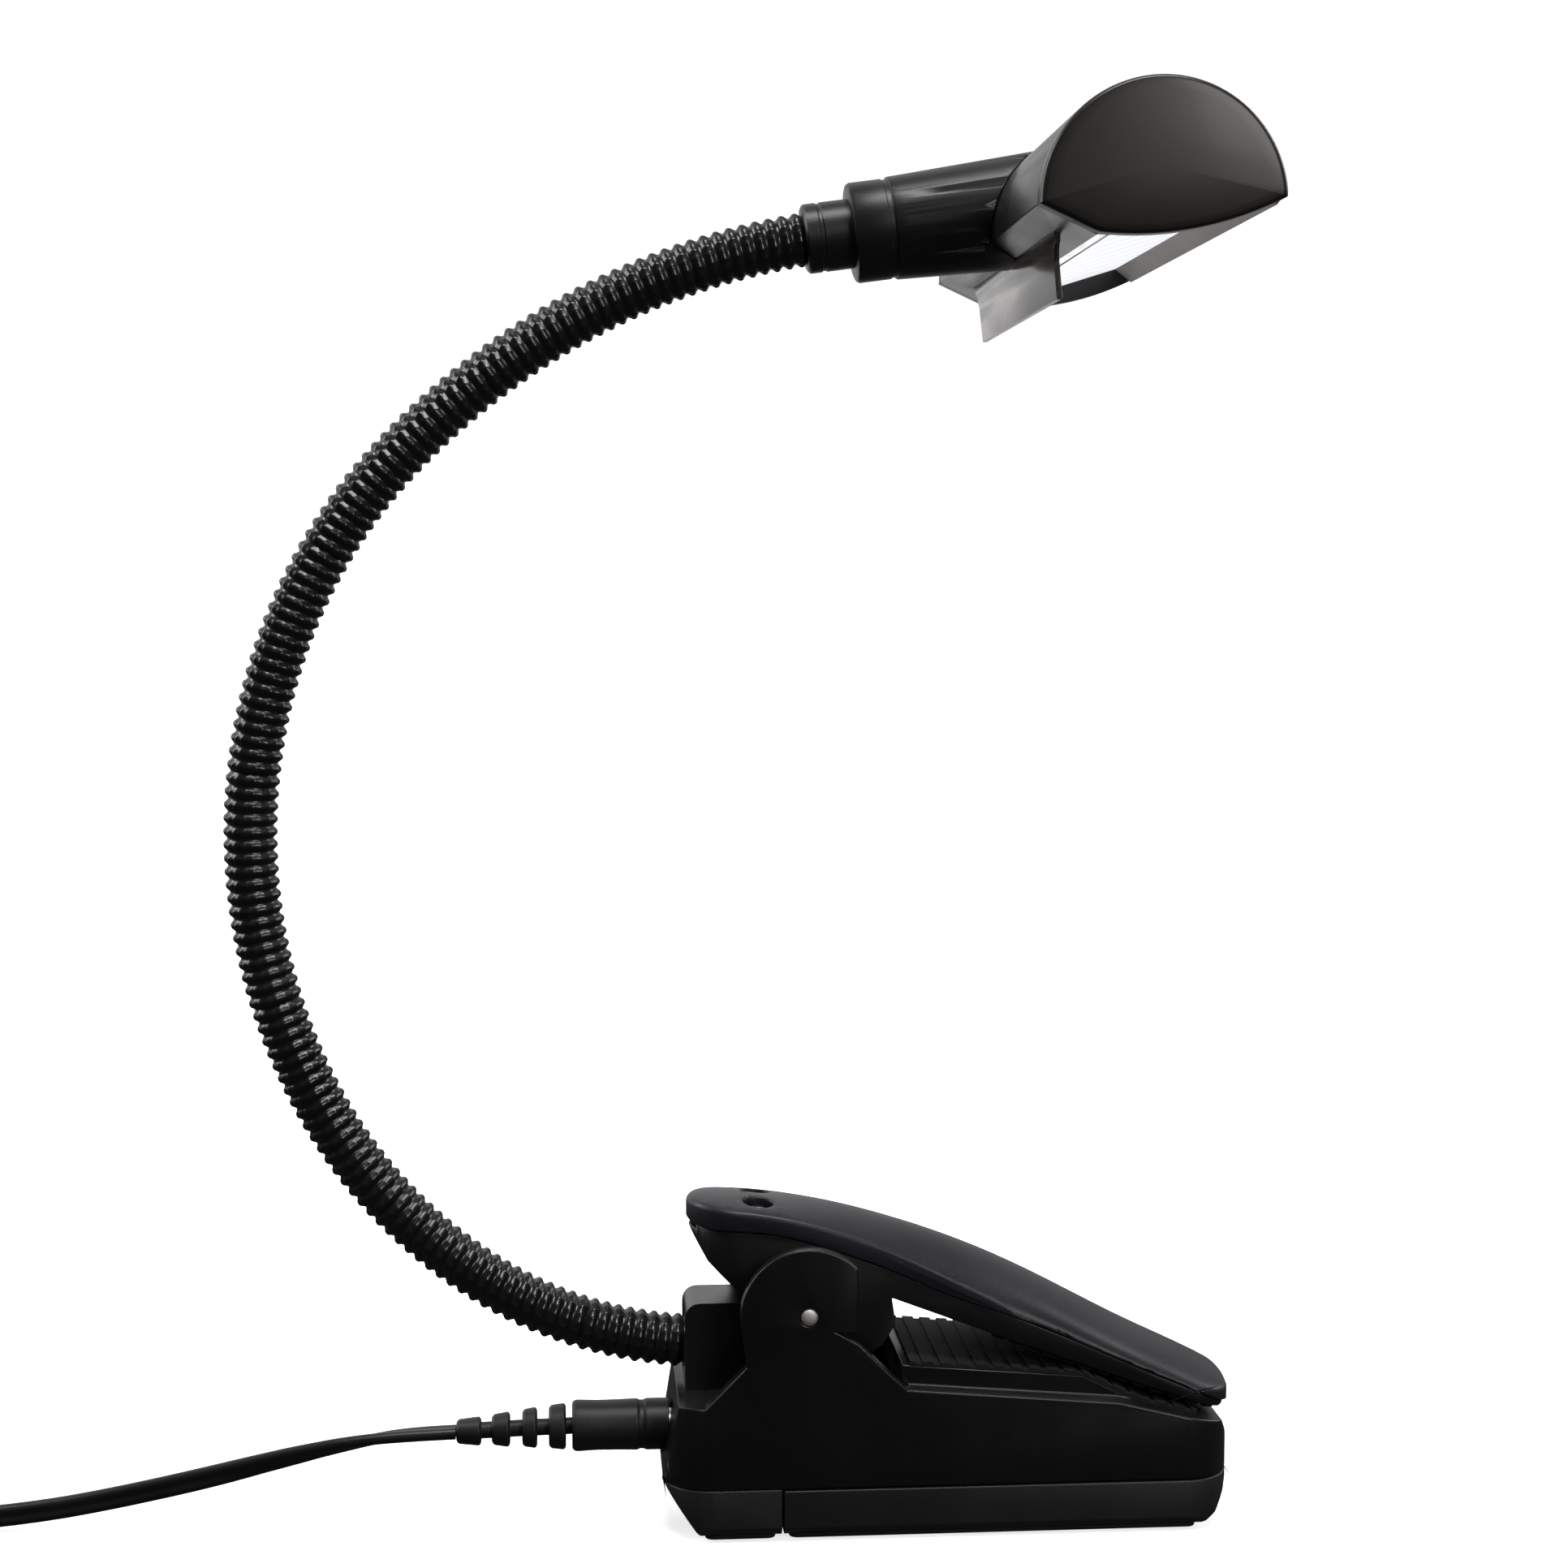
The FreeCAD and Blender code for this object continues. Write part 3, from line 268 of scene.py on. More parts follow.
    def fit(self, piece: bpy.types.Object, material: bpy.types.Material, body: str, slot: str,
            *nodes: str) -> bpy.types.Object:
        """Dresses a piece, hangs it on the body it rides on, logs that, and hides the solids it stands for.
        """
        piece.data.materials.clear()
        piece.data.materials.append(material)
        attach(piece, body)
        if nodes:
            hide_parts(*nodes)
        log.info("%s rides on %s", piece.name, body)
        return piece

    def dress(self, material: bpy.types.Material, *nodes: str) -> None:
        """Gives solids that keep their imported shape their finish."""
        for node in nodes:
            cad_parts[node].data.materials[0] = material


bench = Workbench()


# ---------------------------------------------------------------- shader building
class Graph:
    """Short ways of adding and joining the nodes of one node tree."""

    def __init__(self, tree: bpy.types.NodeTree) -> None:
        """Keeps the tree to add to."""
        self.tree = tree

    def add(self, kind: str, **settings: object) -> bpy.types.Node:
        """Adds a node and sets its properties."""
        node = self.tree.nodes.new(kind)
        for key, value in settings.items():
            setattr(node, key, value)
        return node

    def feed(self, socket: bpy.types.NodeSocket, value: object) -> None:
        """Links an output to a socket, or sets the socket's own value."""
        if isinstance(value, bpy.types.NodeSocket):
            self.tree.links.new(value, socket)
        else:
            socket.default_value = value

    def maths(self, operation: str, *values: object) -> bpy.types.NodeSocket:
        """One Math node."""
        node = self.add("ShaderNodeMath", operation=operation)
        for socket, value in zip(node.inputs, values):
            self.feed(socket, value)
        return node.outputs[0]

    def remap(self, value: object, low: float, high: float, to_low: object = 0.0,
              to_high: object = 1.0) -> bpy.types.NodeSocket:
        """One clamped Map Range node."""
        node = self.add("ShaderNodeMapRange")
        for socket, given in zip(node.inputs, (value, low, high, to_low, to_high)):
            self.feed(socket, given)
        return node.outputs[0]

    def blend(self, share: object, first: object, second: object) -> bpy.types.NodeSocket:
        """Mixes two colours."""
        node = self.add("ShaderNodeMix", data_type="RGBA")
        self.feed(node.inputs[0], share)
        self.feed(node.inputs[6], first)
        self.feed(node.inputs[7], second)
        return node.outputs[2]

    def place(self) -> bpy.types.NodeSocket:
        """The surface point in the lamp's own frame, in metres."""
        return self.add("ShaderNodeTexCoord").outputs["Object"]

    def axes(self, vector: object) -> bpy.types.bpy_prop_collection:
        """The X, Y and Z outputs of a vector."""
        split = self.add("ShaderNodeSeparateXYZ")
        self.feed(split.inputs[0], vector)
        return split.outputs

    def noise(self, scale: object, detail: float = 3.0, rough: float = 0.5) -> bpy.types.NodeSocket:
        """The value of a noise texture at the surface point."""
        node = self.add("ShaderNodeTexNoise")
        self.feed(node.inputs["Vector"], self.place())
        self.feed(node.inputs["Scale"], scale)
        node.inputs["Detail"].default_value = detail
        node.inputs["Roughness"].default_value = rough
        return node.outputs[0]


def shared_group(name: str, inputs: dict[str, float], outputs: Sequence[str],
                 fill: Callable[[Graph, dict, dict], None]) -> bpy.types.NodeTree:
    """Builds a shader node group with number sockets.

    Args:
        name: the group's name.
        inputs: each input's name and default.
        outputs: the outputs' names.
        fill: adds the nodes, given the graph, the inputs and the output sockets.

    Returns:
        The node group.
    """
    tree = bpy.data.node_groups.new(name, "ShaderNodeTree")
    for label, value in inputs.items():
        socket = tree.interface.new_socket(label, in_out="INPUT", socket_type="NodeSocketFloat")
        socket.default_value = value
    for label in outputs:
        tree.interface.new_socket(label, in_out="OUTPUT", socket_type="NodeSocketFloat")
    graph = Graph(tree)
    entry = graph.add("NodeGroupInput")
    leave = graph.add("NodeGroupOutput")
    fill(graph, entry.outputs, leave.inputs)
    return tree


def fill_moulded_grain(graph: Graph, given: dict, out: dict) -> None:
    """Fine spark-eroded grain, with a slow unevenness of the gloss."""
    scale = graph.maths("DIVIDE", 1.0, graph.maths("MULTIPLY", given["Grain size"], MM))
    cells = graph.add("ShaderNodeTexVoronoi", feature="SMOOTH_F1")
    graph.feed(cells.inputs["Vector"], graph.place())
    graph.feed(cells.inputs["Scale"], scale)
    fine = graph.noise(graph.maths("MULTIPLY", scale, 2.3), 2.0, 0.6)
    height = graph.maths("ADD", cells.outputs["Distance"], graph.maths("MULTIPLY", fine, 0.4))
    graph.feed(out["Height"], height)
    slow = graph.noise(38.0, 4.0, 0.55)
    graph.feed(out["Unevenness"], graph.remap(slow, 0.3, 0.7))


def fill_rubbed_edges(graph: Graph, given: dict, out: dict) -> None:
    """Where hands and shelves rub the edges paler, broken up by noise."""
    rounded = graph.add("ShaderNodeBevel", samples=4)
    graph.feed(rounded.inputs["Radius"], graph.maths("MULTIPLY", given["Reach"], MM))
    facing = graph.add("ShaderNodeNewGeometry").outputs["Normal"]
    dot = graph.add("ShaderNodeVectorMath", operation="DOT_PRODUCT")
    graph.feed(dot.inputs[0], rounded.outputs[0])
    graph.feed(dot.inputs[1], facing)
    edge = graph.remap(dot.outputs["Value"], 0.995, 0.86)
    patchy = graph.remap(graph.noise(420.0, 4.0, 0.6), 0.42, 0.66)
    worn = graph.maths("MULTIPLY", edge, patchy)
    graph.feed(out["Worn"], graph.maths("MULTIPLY", worn, given["Amount"]))


def fill_settled_dust(graph: Graph, given: dict, out: dict) -> None:
    """Specks and a thin film on faces that look up."""
    normal = graph.add("ShaderNodeTexCoord").outputs["Normal"]
    upward = graph.remap(graph.axes(normal)["Z"], 0.2, 0.95)
    specks = graph.remap(graph.noise(900.0, 2.0, 0.7), 0.66, 0.74)
    film = graph.remap(graph.noise(60.0, 3.0, 0.5), 0.4, 0.8, 0.0, 0.5)
    settled = graph.maths("MULTIPLY", upward, graph.maths("MAXIMUM", specks, film))
    graph.feed(out["Dust"], graph.maths("MULTIPLY", settled, given["Amount"]))


GRAIN = shared_group("moulded grain", {"Grain size": 0.35}, ("Height", "Unevenness"), fill_moulded_grain)
RUBBED = shared_group("rubbed edges", {"Reach": 0.5, "Amount": 1.0}, ("Worn",), fill_rubbed_edges)
DUST = shared_group("settled dust", {"Amount": 0.3}, ("Dust",), fill_settled_dust)


def rgba(colour: Colour) -> tuple[float, float, float, float]:
    """Adds the alpha that a colour socket needs."""
    return (*colour, 1.0)


def new_material(name: str) -> tuple[bpy.types.Material, Graph, bpy.types.Node]:
    """Starts a node material.

    Args:
        name: the material's name.

    Returns:
        The material, its graph and its Principled node.
    """
    material = bpy.data.materials.new(name)
    material.use_nodes = True
    graph = Graph(material.node_tree)
    return material, graph, material.node_tree.nodes["Principled BSDF"]


def use_group(graph: Graph, group: bpy.types.NodeTree, **values: float) -> dict:
    """Places a shared group with its own values and gives its outputs."""
    node = graph.add("ShaderNodeGroup", node_tree=group)
    for label, value in values.items():
        node.inputs[label.replace("_", " ")].default_value = value
    return node.outputs


def bumped(graph: Graph, shader: bpy.types.Node, height: object, depth: float) -> None:
    """Feeds a height, in units of depth millimetres, to a shader's normal."""
    bump = graph.add("ShaderNodeBump")
    bump.inputs["Strength"].default_value = 1.0
    bump.inputs["Distance"].default_value = depth * MM
    graph.feed(bump.inputs["Height"], height)
    graph.feed(shader.inputs["Normal"], bump.outputs[0])


@dataclass(frozen=True)
class MouldedFinish:
    """Injection-moulded plastic or rubber, with grain, rubbed edges and a trace of dust."""

    name: str
    colour: Colour
    worn: Colour = (0.10, 0.10, 0.11)
    roughness: float = 0.38
    spread: float = 0.10
    grain_size: float = 0.35
    grain_depth: float = 0.012
    wear: float = 0.35
    dust: float = 0.12
    gloss: float = 0.5
    coat: float = 0.0

    def build(self) -> bpy.types.Material:
        """Builds the material."""
        material, graph, shader = new_material(self.name)
        grain = use_group(graph, GRAIN, Grain_size=self.grain_size)
        worn = use_group(graph, RUBBED, Reach=0.45, Amount=self.wear)["Worn"]
        dust = use_group(graph, DUST, Amount=self.dust)["Dust"]
        tint = graph.blend(grain["Unevenness"], rgba(self.colour),
                           rgba(tuple(part * 1.35 + 0.001 for part in self.colour)))
        tint = graph.blend(worn, tint, rgba(self.worn))
        tint = graph.blend(dust, tint, (0.32, 0.31, 0.30, 1.0))
        graph.feed(shader.inputs["Base Color"], tint)
        rough = graph.remap(grain["Unevenness"], 0.0, 1.0, self.roughness, self.roughness + self.spread)
        rough = graph.maths("MAXIMUM", rough, graph.maths("MULTIPLY", dust, 0.9))
        graph.feed(shader.inputs["Roughness"], rough)
        shader.inputs["Specular IOR Level"].default_value = self.gloss
        shader.inputs["Coat Weight"].default_value = self.coat
        shader.inputs["Coat Roughness"].default_value = 0.12
        bumped(graph, shader, grain["Height"], self.grain_depth)
        return material


@dataclass(frozen=True)
class MetalFinish:
    """Drawn or plated metal with a fine noise in its gloss and surface, and faint stains."""

    name: str
    colour: Colour = (0.62, 0.61, 0.59)
    roughness: float = 0.24
    line_size: float = 0.25

    def build(self) -> bpy.types.Material:
        """Builds the material."""
        material, graph, shader = new_material(self.name)
        lines = graph.noise(1.0 / (self.line_size * MM), 3.0, 0.6)
        stain = graph.remap(graph.noise(160.0, 3.0, 0.5), 0.35, 0.7)
        tint = graph.blend(stain, rgba(self.colour), rgba(tuple(part * 0.72 for part in self.colour)))
        graph.feed(shader.inputs["Base Color"], tint)
        rough = graph.remap(lines, 0.3, 0.7, self.roughness, self.roughness + 0.16)
        graph.feed(shader.inputs["Roughness"], rough)
        shader.inputs["Metallic"].default_value = 1.0
        bumped(graph, shader, lines, 0.008)
        return material


@dataclass(frozen=True)
class SmokedFinish:
    """Clear plastic with a warm grey tint and a faint haze."""

    name: str
    tint: Colour = (0.30, 0.265, 0.25)
    roughness: float = 0.12

    def build(self) -> bpy.types.Material:
        """Builds the material."""
        material, graph, shader = new_material(self.name)
        haze = graph.remap(graph.noise(90.0, 3.0, 0.5), 0.3, 0.7)
        darker = rgba(tuple(part * 0.9 for part in self.tint))
        graph.feed(shader.inputs["Base Color"], graph.blend(haze, rgba(self.tint), darker))
        rough = graph.remap(haze, 0.0, 1.0, self.roughness, self.roughness + 0.08)
        graph.feed(shader.inputs["Roughness"], rough)
        shader.inputs["Transmission Weight"].default_value = 0.96
        shader.inputs["IOR"].default_value = 1.46
        return material


@dataclass(frozen=True)
class GlowFinish:
    """Milky diffuser, lit from behind by a row of diodes."""

    name: str
    pitch: float = 12.0
    strength: float = 0.9

    def build(self) -> bpy.types.Material:
        """Builds the material."""
        material, graph, shader = new_material(self.name)
        turn = graph.maths("MULTIPLY", graph.axes(graph.place())["Y"], 2 * math.pi / (self.pitch * MM))
        spots = graph.remap(graph.maths("COSINE", turn), -1.0, 1.0, 0.0, 1.0)
        cloudy = graph.noise(500.0, 2.0, 0.5)
        share = graph.maths("MULTIPLY", spots, graph.remap(cloudy, 0.2, 0.8, 0.7, 1.0))
        glow = graph.blend(share, (0.86, 0.88, 0.92, 1.0), (1.0, 1.0, 1.0, 1.0))
        graph.feed(shader.inputs["Base Color"], glow)
        graph.feed(shader.inputs["Emission Color"], glow)
        shader.inputs["Emission Strength"].default_value = self.strength
        graph.feed(shader.inputs["Roughness"], graph.remap(cloudy, 0.3, 0.7, 0.38, 0.5))
        return material


@dataclass(frozen=True)
class JacketFinish:
    """Printed sleeve of a small cell: two plain bands round it and no lettering."""

    name: str
    band_from: float = 16.0
    tin_from: float = 30.4
    edge: float = 0.3

    def build(self) -> bpy.types.Material:
        """Builds the material."""
        material, graph, shader = new_material(self.name)
        along = graph.axes(graph.place())["X"]
        band, tin = (graph.remap(along, start * MM, (start + self.edge) * MM)
                     for start in (self.band_from, self.tin_from))
        body = graph.blend(band, (0.02, 0.02, 0.022, 1.0), (0.55, 0.33, 0.10, 1.0))
        graph.feed(shader.inputs["Base Color"], graph.blend(tin, body, (0.65, 0.65, 0.66, 1.0)))
        metal = graph.maths("MAXIMUM", tin, graph.maths("MULTIPLY", band, 0.6))
        graph.feed(shader.inputs["Metallic"], metal)
        graph.feed(shader.inputs["Roughness"], graph.remap(graph.noise(300.0), 0.3, 0.7, 0.28, 0.4))
        return material


@dataclass(frozen=True)
class BoardFinish:
    """Circuit board: green lacquer over paler tracks."""

    name: str

    def build(self) -> bpy.types.Material:
        """Builds the material."""
        material, graph, shader = new_material(self.name)
        tracks = graph.add("ShaderNodeTexBrick")
        graph.feed(tracks.inputs["Vector"], graph.place())
        tracks.inputs["Scale"].default_value = 260.0
        tracks.inputs["Mortar Size"].default_value = 0.05
        tint = graph.blend(tracks.outputs["Fac"], (0.01, 0.10, 0.035, 1.0), (0.03, 0.22, 0.08, 1.0))
        graph.feed(shader.inputs["Base Color"], tint)
        graph.feed(shader.inputs["Roughness"], graph.remap(graph.noise(200.0), 0.3, 0.7, 0.3, 0.45))
        bumped(graph, shader, tracks.outputs["Fac"], 0.03)
        return material


class Finishes:
    """Every finish on the lamp, built once."""

    def __init__(self) -> None:
        """Builds the materials."""
        self.housing = MouldedFinish("satin black housing", (0.0045, 0.0044, 0.0046), roughness=0.24).build()
        self.base_tray = MouldedFinish("grey black tray", (0.012, 0.012, 0.0125), roughness=0.42,
                                       grain_size=0.5, grain_depth=0.02).build()
        self.lever = MouldedFinish("blue black lever", (0.011, 0.012, 0.018), roughness=0.36,
                                   grain_size=0.3, gloss=0.45).build()
        self.arm = MouldedFinish("black lever arm", (0.004, 0.004, 0.0043), roughness=0.34).build()
        self.neck = MouldedFinish("black hose", (0.006, 0.006, 0.0065), roughness=0.22, grain_size=0.2,
                                  grain_depth=0.006, wear=0.1, dust=0.05, gloss=0.6).build()
        self.barrel = MouldedFinish("satin barrel", (0.008, 0.008, 0.009), roughness=0.34,
                                    grain_size=0.3).build()
        self.head = MouldedFinish("gloss head", (0.009, 0.009, 0.0095), roughness=0.24, grain_size=0.3,
                                  grain_depth=0.006).build()
        self.cap = MouldedFinish("gloss cap", (0.0115, 0.0098, 0.0088), roughness=0.33, spread=0.04,
                                 grain_size=0.25, grain_depth=0.003, coat=0.1, dust=0.03).build()
        self.rubber = MouldedFinish("black rubber", (0.010, 0.010, 0.010), roughness=0.72, grain_size=0.7,
                                    grain_depth=0.05, wear=0.2, gloss=0.3).build()
        self.cord = MouldedFinish("cord vinyl", (0.007, 0.007, 0.0075), roughness=0.3, grain_size=0.8,
                                  grain_depth=0.01, wear=0.05).build()
        self.boot = MouldedFinish("moulded boot", (0.0075, 0.0075, 0.008), roughness=0.42,
                                  grain_size=0.4).build()
        self.tie = MouldedFinish("tie vinyl", (0.014, 0.014, 0.014), roughness=0.5).build()
        self.adapter = MouldedFinish("adapter plastic", (0.012, 0.012, 0.0125), roughness=0.46,
                                     grain_size=0.5, grain_depth=0.03).build()
        self.inner = MouldedFinish("inner plastic", (0.035, 0.035, 0.037), roughness=0.5).build()
        self.switch = MouldedFinish("switch plastic", (0.02, 0.02, 0.021), roughness=0.4).build()
        self.white = MouldedFinish("white plastic", (0.78, 0.78, 0.76), worn=(0.85, 0.85, 0.84),
                                   dust=0.02).build()
        self.yellow = MouldedFinish("diode phosphor", (0.85, 0.62, 0.10), worn=(0.9, 0.7, 0.2),
                                    dust=0.0).build()
        self.bezel = MouldedFinish("grey bezel", (0.58, 0.54, 0.51), roughness=0.5, dust=0.02,
                                   wear=0.1).build()
        self.steel = MetalFinish("bright steel", (0.78, 0.77, 0.75), 0.3).build()
        self.rivet = MetalFinish("satin rivet", (0.93, 0.90, 0.88), 0.55).build()
        self.brass = MetalFinish("plated blades", (0.70, 0.66, 0.58), 0.2).build()
        self.smoked = SmokedFinish("smoked clear").build()
        self.glow = GlowFinish("lit diffuser").build()
        self.jacket = JacketFinish("cell jacket").build()
        self.board = BoardFinish("circuit board").build()


# ---------------------------------------------------------------- camera and studio
@dataclass
class Studio:
    """Camera, pale floor that curves up behind, and soft lights."""

    camera_at: Point = (-66.2, -480.0, 169.2)
    camera_right: Point = (0.9969, -0.0786, 0.0)
    camera_up: Point = (0.0059, 0.0753, 0.9971)
    camera_back: Point = (-0.0784, -0.9941, 0.0756)
    picture_side: float = 1932.0
    focal_pixels: float = 3312.0
    floor_half: float = 2.6
    wall_y: float = 1.3
    wall_radius: float = 0.5
    wall_height: float = 3.2
    # what the paper gives back to the lamp: near it, at the left of the wall and at the right
    bounce: tuple[float, float, float] = (0.04, 0.8, 0.32)

    def build_camera(self) -> None:
        """Adds the camera and makes it the scene's."""
        data = bpy.data.cameras.new("camera")
        data.sensor_width = 36.0
        data.lens = data.sensor_width * self.focal_pixels / self.picture_side
        data.clip_start = 0.01
        data.clip_end = 20.0
        camera = bpy.data.objects.new("camera", data)
        bpy.context.scene.collection.objects.link(camera)
        turn = Matrix((self.camera_right, self.camera_up, self.camera_back)).transposed()
        camera.matrix_world = Matrix.Translation(Vector(self.camera_at) * MM) @ turn.to_4x4()
        bpy.context.scene.camera = camera

    def build_paper(self) -> bpy.types.Material:
        """White paper: bright where it is looked at, dimmer where it shows in the lamp's surfaces."""
        material, graph, shader = new_material("pale sweep")
        axes = graph.axes(graph.place())
        paper = graph.blend(graph.noise(7.0), (0.93, 0.93, 0.93, 1.0), (0.96, 0.96, 0.96, 1.0))
        graph.feed(shader.inputs["Base Color"], paper)
        shader.inputs["Roughness"].default_value = 0.9
        shader.inputs["Specular IOR Level"].default_value = 0.1
        graph.feed(shader.inputs["Emission Color"], paper)
        shader.inputs["Emission Strength"].default_value = 0.75
        dim = graph.add("ShaderNodeEmission")
        dim.inputs["Color"].default_value = (1.0, 1.0, 1.0, 1.0)
        near, left, right = self.bounce
        wall = graph.remap(axes["X"], 0.2, 0.6, left, right)
        graph.feed(dim.inputs["Strength"], graph.remap(axes["Y"], 0.35, 1.0, near, wall))
        rays = graph.add("ShaderNodeLightPath").outputs
        seen = graph.add("ShaderNodeMixShader")
        straight = graph.maths("MAXIMUM", rays["Is Camera Ray"], rays["Is Transmission Ray"])
        for socket, source in zip(seen.inputs, (straight, dim.outputs[0], shader.outputs[0])):
            graph.feed(socket, source)
        graph.feed(material.node_tree.nodes["Material Output"].inputs[0], seen.outputs[0])
        return material

    def build_floor(self) -> None:
        """Adds the sweep: a plane whose far edge is extruded up round a quarter circle."""
        bench.clear()
        bpy.ops.mesh.primitive_plane_add(size=2 * self.floor_half, location=(0, 0, -0.0002))
        sweep = bench.named("sweep")
        bench.settle(sweep)
        with bench.editing(sweep, Pick.EDGES) as mesh:
            far = self.floor_half - 1e-4
            bench.choose_edges(sweep, mesh, lambda a, b: min(a.y, b.y) * MM > far)
            bpy.ops.transform.translate(value=(0, self.wall_y - self.floor_half, 0))
            steps = 12
            for step in range(steps):
                before, after = (math.pi / 2 * (step + k) / steps for k in (0, 1))
                bench.pull(y=self.wall_radius * (math.sin(after) - math.sin(before)) / MM,
                           z=self.wall_radius * (math.cos(before) - math.cos(after)) / MM)
            bench.pull(z=self.wall_height / MM)
        bench.smooth(sweep, 60)
        sweep.data.materials.append(self.build_paper())

    def add_light(self, name: str, at: Point, aim: Point, size: tuple[float, float], power: float,
                  colour: Colour = (1.0, 1.0, 1.0)) -> None:
        """Adds one soft rectangular light, in metres and watts."""
        data = bpy.data.lights.new(name, "AREA")
        data.shape = "RECTANGLE"
        data.size, data.size_y = size
        data.energy = power
        data.color = colour
        light = bpy.data.objects.new(name, data)
        bpy.context.scene.collection.objects.link(light)
        light.location = at
        light.rotation_euler = (Vector(aim) - Vector(at)).to_track_quat("-Z", "Y").to_euler()

    def build_lights(self) -> None:
        """Adds a broad light overhead, one at each side, one in front, and a little light all round."""
        self.add_light("top softbox", (0.06, -0.30, 1.25), (-0.02, 0.0, 0.1), (0.7, 0.35), 9.0)
        self.add_light("left window", (-1.2, 0.35, 0.75), (-0.1, 0.0, 0.15), (0.35, 1.0), 8.0)
        self.add_light("right window", (1.2, 0.45, 0.7), (0.0, 0.0, 0.12), (0.3, 0.9), 5.0)
        self.add_light("front window", (0.68, -1.40, 0.78), (0.03, 0.0, 0.22), (0.5, 0.5), 7.0,
                       (1.0, 0.96, 0.92))
        world = bpy.data.worlds.new("studio air")
        bpy.context.scene.world = world
        world.use_nodes = True
        air = world.node_tree.nodes["Background"]
        air.inputs["Color"].default_value = (1.0, 1.0, 1.0, 1.0)
        air.inputs["Strength"].default_value = 0.06
        bpy.context.scene.view_settings.view_transform = "Standard"


# ---------------------------------------------------------------- lead, coil and adapter
@dataclass(frozen=True)
class ReliefRing:
    """One ring of the strain relief: its ends along x, its diameters there, and its height."""

    near: float
    far: float
    wide: float
    narrow: float
    height: float


